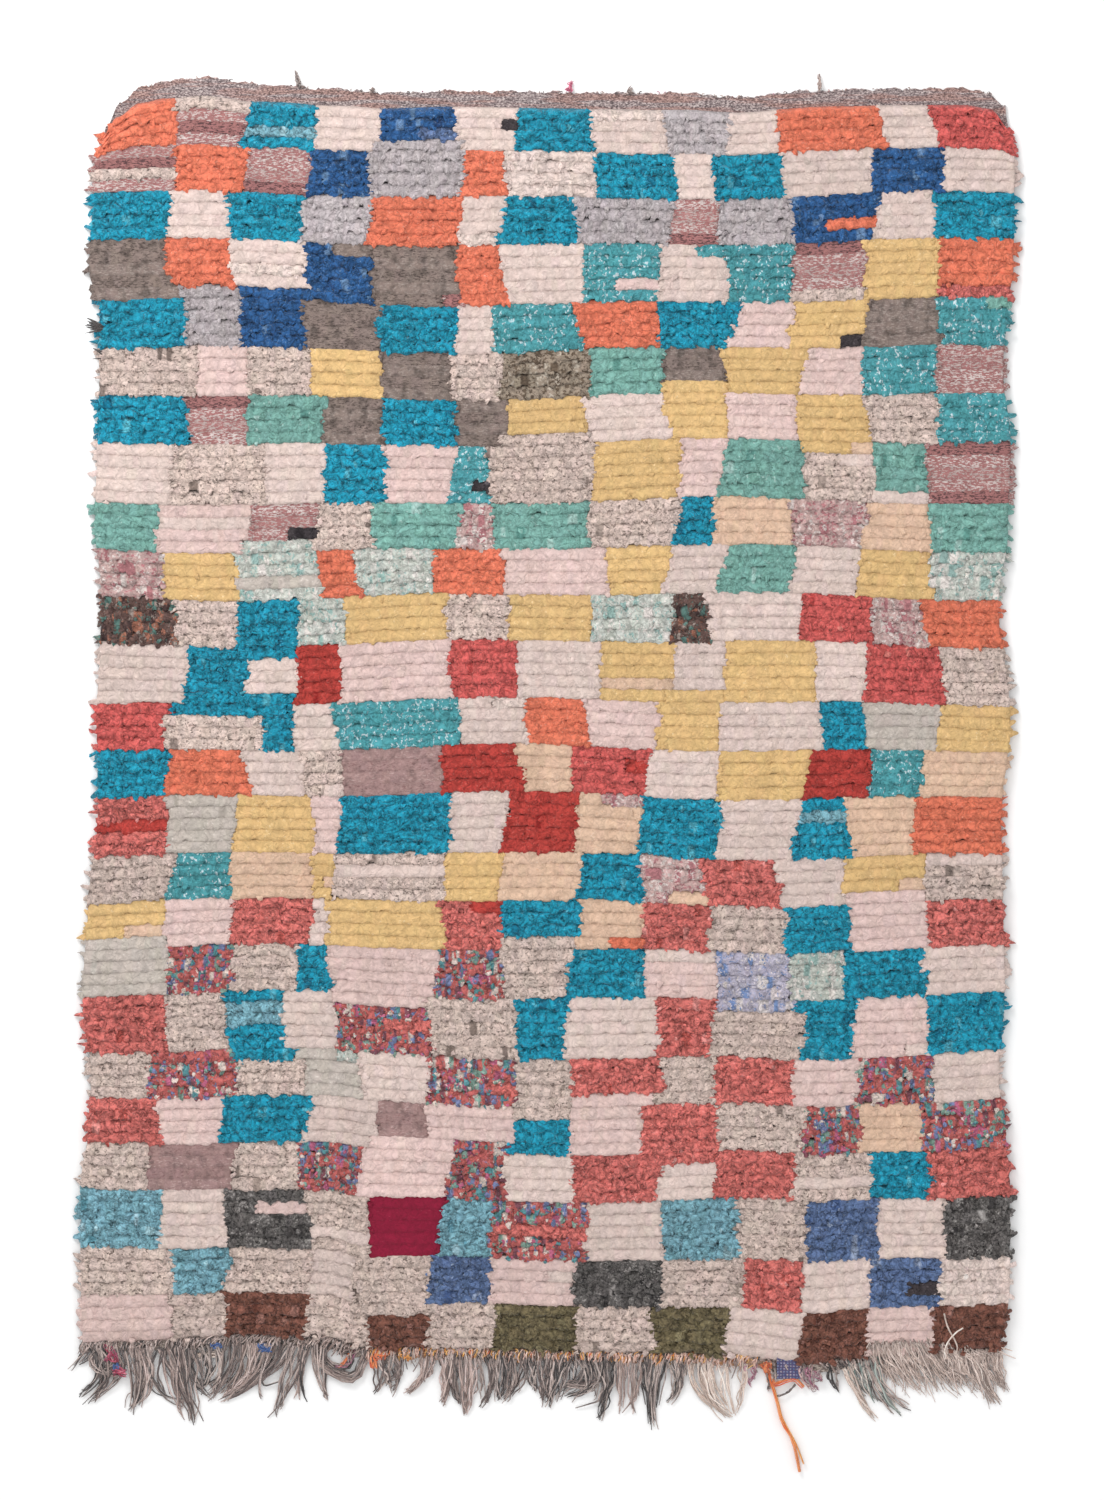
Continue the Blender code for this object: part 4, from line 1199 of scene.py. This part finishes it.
def pastEnd(place, past):
    # x and y of a place past the fringed end of the cloth
    x, y = clothPoint(place, np.ones_like(np.asarray(place, float)))
    return x, y - past


def strandPaths(luck, first, last, rootPast, middle, middlePast, tip, tipPast, half, count):
    # strands that leave the web side by side, bend together and gather in one tip
    share = np.linspace(0, 1, fringe["steps"])[None, :]
    rootPast = min(rootPast, cloth["bandWidth"] - fringe["tuck"])
    side = luck.uniform(-1, 1, (count, 1))
    roots = (first + last) / 2 + (last - first) / 2 * side
    rootX, rootY = pastEnd(roots, rootPast + luck.normal(0, fringe["stray"], (count, 1)))
    middleX, middleY = pastEnd(middle, middlePast)
    tipX, tipY = (at + luck.normal(0, half * 0.8, (count, 1)) for at in pastEnd(tip, tipPast))
    # a curve through the middle, that keeps some of the strand's own side
    fullness = (last - first) * cloth["width"] * fringe["fullness"] + half
    middleX = middleX + fullness * (side * 0.8 + luck.normal(0, 0.25, (count, 1)))
    middleY = middleY + luck.normal(0, fringe["stray"], (count, 1))
    bendX, bendY = 2 * middleX - (rootX + tipX) / 2, 2 * middleY - (rootY + tipY) / 2
    shorter = 0.30 * np.abs(side) ** 2 * luck.random((count, 1))
    run = share * (1 - shorter - 0.24 * luck.random((count, 1)) ** 2.5)
    size = luck.normal(0, fringe["kink"], (2, count, 1))
    waves = size * np.sin(share * 12 + luck.uniform(0, 6, (2, count, 1)))
    x, y = (root * (1 - run) ** 2 + 2 * bend * run * (1 - run) + end * run ** 2 + wave
            for root, bend, end, wave in zip((rootX, rootY), (bendX, bendY), (tipX, tipY), waves))
    height = fringe["rootHeight"] + fringe["rootClimb"] * max(-rootPast, 0.0)
    bow = fringe["bow"] * luck.random((count, 1)) * np.sin(share * math.pi * 0.9)
    z = fringe["tipHeight"] + height * (1 - share) ** 2.2 + bow
    return np.stack([x, y, z + fringe["spread"] * luck.random((count, 1))], -1)


def followedPaths(luck, stops, half, count):
    # strands along a curve through given places
    stops = np.array(stops)
    line = np.column_stack(pastEnd(stops[:, 0], stops[:, 1]))
    line = np.concatenate([[2 * line[0] - line[1]], line, [2 * line[-1] - line[-2]]])
    share = np.linspace(0, len(stops) - 1.0001, fringe["steps"])
    leg, t = share.astype(int), (share % 1)[:, None]
    before, start, end, after = (line[leg + i] for i in range(4))
    curve = start + 0.5 * t * (end - before + t * (2 * before - 5 * start + 4 * end - after + t * (
        3 * (start - end) + after - before)))
    heading = np.gradient(curve, axis=0)
    across = np.column_stack([-heading[:, 1], heading[:, 0]]) / np.linalg.norm(heading, axis=1, keepdims=True)
    own = luck.normal(0, half, (count, 1, 1)) + luck.normal(0, half * 0.35, (count, len(share), 1))
    paths = curve[None] + across[None] * own
    lowest, spread, swing = fringe["followedHeights"]
    z = lowest + spread * luck.random((count, 1)) + swing * np.sin(share * 5)[None]
    return np.concatenate([paths, z[..., None]], axis=-1)


def stubPaths(luck, first, last, reach, lean, count):
    # short ends that bend over the web
    share = np.linspace(0, 1, fringe["steps"] // 2)[None, :]
    roots = fringe["stubRoots"]
    x, y = pastEnd(luck.uniform(first, last, (count, 1)), luck.uniform(-roots, roots, (count, 1)))
    x = x + lean * luck.uniform(-0.3, 2.0, (count, 1)) * share
    x = x + luck.normal(0, fringe["stubStray"], (count, 1)) * np.sin(share * 4)
    y = y - reach * luck.uniform(0.25, 1.15, (count, 1)) * share
    highest, spread, swing = fringe["stubHeights"]
    z = highest * (1 - fringe["stubFall"] * share ** 2) + swing * np.sin(share * math.pi)
    z = z + spread * luck.random((count, 1))
    return np.stack([x, y, z], -1)


def tanglePaths(luck, middle, past, wide, tall, count):
    # strands that wind about over the web
    share = np.linspace(0, 1, fringe["steps"])[None, :]
    x, y = pastEnd(middle, past)

    def wander(size):
        turns, starts = luck.uniform(3, 9, (2, count, 1)), luck.uniform(0, 6, (2, count, 1))
        large, small = np.sin(turns * share + starts)
        return size * (0.65 * large + 0.35 * small)

    lowest, spread, swing = fringe["tangleHeights"]
    z = lowest + spread * luck.random((count, 1)) + swing * np.sin(share * 9)
    return np.stack([x + wander(wide), y + wander(tall), z], -1)


def makeFringe(luck):
    skein = Skein(luck)
    for *places, count, wool in fringe["bunches"]:
        strands = strandPaths(luck, *thousandths(places), math.ceil(count * fringe["strandShare"]))
        thinner = fringe["fineShare"] if wool == fringe["fineWool"] else 1.0
        skein.add(strands, fringe["radius"] * thinner, wool, 0.55)
    return skein.sweep("warpFringe", "pliedWarp")


def makeLooseYarn(luck):
    # loops, tangles, the long bright end and the wisps of the plain end and the left side
    skein = Skein(luck)
    for stops, half, count, radius, wool in fringe["followed"]:
        half, radius = thousandths([half, radius])
        skein.add(followedPaths(luck, [thousandths(stop) for stop in stops], half, count), radius, wool, 0.35)
    for *places, count, wool in fringe["tangles"]:
        skein.add(tanglePaths(luck, *thousandths(places), count), fringe["tangleRadius"], wool, 0.1)
    share = np.linspace(0, 1, fringe["steps"])[None]
    root = wisps["root"]
    for *places, wool in wisps["ends"]:
        place, reach, lean = thousandths(places)
        # made at the fringed end, moved to the plain one and turned over
        wisp = strandPaths(luck, place - root, place + root, 0.0, place, reach / 2, place, reach, 0.0004,
                           wisps["strands"])
        x, y = clothPoint(place, 0.0)
        endX, endY = pastEnd(place, 0.0)
        wisp[..., 0] += x - endX + lean * share ** 1.5
        wisp[..., 1] = y - (wisp[..., 1] - endY)
        skein.add(wisp, wisps["endRadius"], wool, 0.7)
    root = wisps["sideRoot"]
    for down, reach, count in wisps["sides"]:
        down, reach = thousandths([down, reach])
        x, y = clothPoint(0.0, down)
        away = (luck.uniform(*wisps["sideReach"], (count, 1)) * reach + root) * share
        fan = luck.normal(*wisps["sideFan"], (count, 1))
        roots = y + luck.normal(0, wisps["sideStray"], (count, 1))
        low, rise = wisps["sideHeights"]
        height = np.broadcast_to(low + rise * np.sin(share * 2.7), away.shape)
        side = np.stack([x + root - away, roots - fan * away, height], -1)
        skein.add(side, wisps["sideRadius"], "black", 0.6)
    return skein.sweep("looseYarn", "looseWool")


def makeStubs(luck):
    # bent ends over the fringe's web, and curls of wool along the ragged plain edge
    skein = Skein(luck)
    for *places, count, wool in fringe["stubs"]:
        skein.add(stubPaths(luck, *thousandths(places), count), fringe["stubRadius"], wool, 0.3)
    share = np.linspace(0, 1, fringe["steps"] // 2)[None]
    for wool, part in plainWeb["curlWools"]:
        count = int(plainWeb["curls"] * part)
        place = luck.uniform(0.0, 1.0, (count, 1))
        x, y = clothPoint(place, np.zeros_like(place))
        turn = luck.uniform(0, math.tau, (count, 1)) + share * 2.6
        size = luck.uniform(*plainWeb["curlSizes"], (count, 1))
        low, rise = plainWeb["curlHeights"]
        height = np.broadcast_to(low + rise * np.sin(share * 3), turn.shape)
        curl = np.stack([x + size * np.cos(turn), y - 0.001 + size * np.sin(turn), height], -1)
        skein.add(curl, plainWeb["curlRadius"], wool, 0.2)
    return skein.sweep("shortEnds", "shortWool")


# loose bits on top: two crossed yarns, and a scrap of checked cloth at the fringe

scrap = {"centre": (0.394, -1.0590), "size": (0.040, 0.044), "cells": 14, "stray": 0.0005,
         "middleHeight": 0.0125, "slope": 0.0085, "warpPitch": 0.0052, "weftPitch": 0.0048,
         "dark": "4B4468", "light": "9C93AE", "blue": "5D7CA6", "dot": "D9B45A"}
crossed = {"radius": 0.0014, "height": 0.0245, "droop": 0.004, "paths": [
    [(0.645, -0.972), (0.648, -0.986), (0.653, -1.000), (0.662, -1.014), (0.668, -1.028), (0.664, -1.039)],
    [(0.676, -0.996), (0.668, -1.000), (0.657, -1.010), (0.649, -1.022), (0.645, -1.034), (0.648, -1.046)]]}


def makeScrap(luck):
    side = scrap["cells"] + 1
    u, v = np.meshgrid(np.linspace(-0.5, 0.5, side), np.linspace(0.5, -0.5, side))
    x, y = (middle + share * size + luck.normal(0, scrap["stray"], u.shape)
            for middle, share, size in zip(scrap["centre"], (u, v), scrap["size"]))
    z = scrap["middleHeight"] + scrap["slope"] * v + 0.0010 * np.sin(u * 9) + 0.0008 * np.sin(v * 14 + 1)
    points = np.stack([x, y, z], -1)
    finish = Finish("checkedScrap")
    at = finish.place()
    checks = finish.stripes(at, "X", scrap["warpPitch"]) * finish.stripes(at, "Y", scrap["weftPitch"])
    mottle = finish.noise(at, 210.0, 2.0)
    dark, light, blue, dot = (tuple(linear(scrap[label])) for label in ("dark", "light", "blue", "dot"))
    cloud = finish.above(mottle, 0.42, 7.0)
    bright = (checks * 1.5 * (mottle * 2.6 - 0.45)).clamped()
    colour = finish.mixColours(bright, dark, finish.mixColours(cloud, blue, light))
    dots = finish.above(checks, 0.86, 14.0) * finish.above(finish.noise(at, 90.0, 1.0), 0.52, 12.0)
    colour = finish.mixColours(dots, colour, dot)
    finish.wear(colour, 0.9, checks + mottle * 0.4, 0.8, 0.0016, Sheen_Weight=0.1)
    return meshFromQuads("checkedScrap", points, gridQuads(side, side), finish.material, uv=planMap(points))


def makeCrossedYarns(luck):
    skein = Skein(luck)
    for corners in crossed["paths"]:
        share = np.linspace(0, len(corners) - 1, fringe["steps"])
        path = np.column_stack([np.interp(share, range(len(corners)), along) for along in zip(*corners)])
        path[1:-1] = (path[:-2] + path[1:-1] * 2 + path[2:]) / 4
        z = crossed["height"] - crossed["droop"] * np.linspace(0, 1, len(share)) ** 3
        skein.add(np.column_stack([path, z])[None], crossed["radius"], "cream", 0.3)
    return skein.sweep("crossedYarns", "palePlies")


# room, camera and light

room = {"floor": "FBFBFB", "half": 6.0, "lens": 100.0, "frameHeight": 2.445, "centre": (0.00815, -0.05705),
        "world": 0.93, "key": 76.0, "keySize": 1.6, "keyPlace": (-1.6, 2.6, 2.6)}


def makeRoom():
    floorMesh = bpy.data.meshes.new("floor")
    corners = [(-1, -1), (1, -1), (1, 1), (-1, 1)]
    floorMesh.from_pydata([(x * room["half"], y * room["half"], -0.0004) for x, y in corners], [],
                          [(0, 1, 2, 3)])
    floor = bpy.data.objects.new("floor", floorMesh)
    scene.collection.objects.link(floor)
    finish = Finish("paleFloor")
    grain = finish.noise(finish.place(), 3.0)
    finish.wear(finish.dim(tuple(linear(room["floor"])), grain * 0.02 + 0.99), 0.9, grain, 0.02, 0.001)
    floorMesh.materials.append(finish.material)

    world = bpy.data.worlds.new("studio")
    world.use_nodes = True
    sky = world.node_tree.nodes["Background"].inputs
    sky["Color"].default_value = (1, 1, 1, 1)
    sky["Strength"].default_value = room["world"]
    scene.world = world
    key = bpy.data.lights.new("key", "AREA")
    key.shape, key.size, key.energy = "DISK", room["keySize"], room["key"]
    lamp = bpy.data.objects.new("key", key)
    lamp.location = room["keyPlace"]
    lamp.rotation_euler = (Vector((0, 0, 0)) - lamp.location).to_track_quat("-Z", "Y").to_euler()
    scene.collection.objects.link(lamp)

    camera = bpy.data.cameras.new("camera")
    camera.lens, camera.sensor_width = room["lens"], 36.0
    height = room["frameHeight"] / camera.sensor_width * camera.lens
    eye = bpy.data.objects.new("camera", camera)
    eye.location = (*room["centre"], height)
    scene.collection.objects.link(eye)
    scene.camera = eye
    scene.view_settings.view_transform = "Standard"
    return floor


floor = makeRoom()
print("room made")
luck = np.random.default_rng(11)
bands = dealBlocks(luck)
groundCloth = makeGround(bands)
runs = layRuns(bands, luck)
pilePieces = makePile(runs, luck)
print("pile made")
web = makePlainWeb(luck)
fringeBand = makeFringeWeb(luck)
warpEnds = makeFringe(luck)
yarnPieces = [makeLooseYarn(luck), makeStubs(luck), makeCrossedYarns(luck), makeScrap(luck)]
print("yarns made")

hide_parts("rag_pile")
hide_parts("warp_fringe")
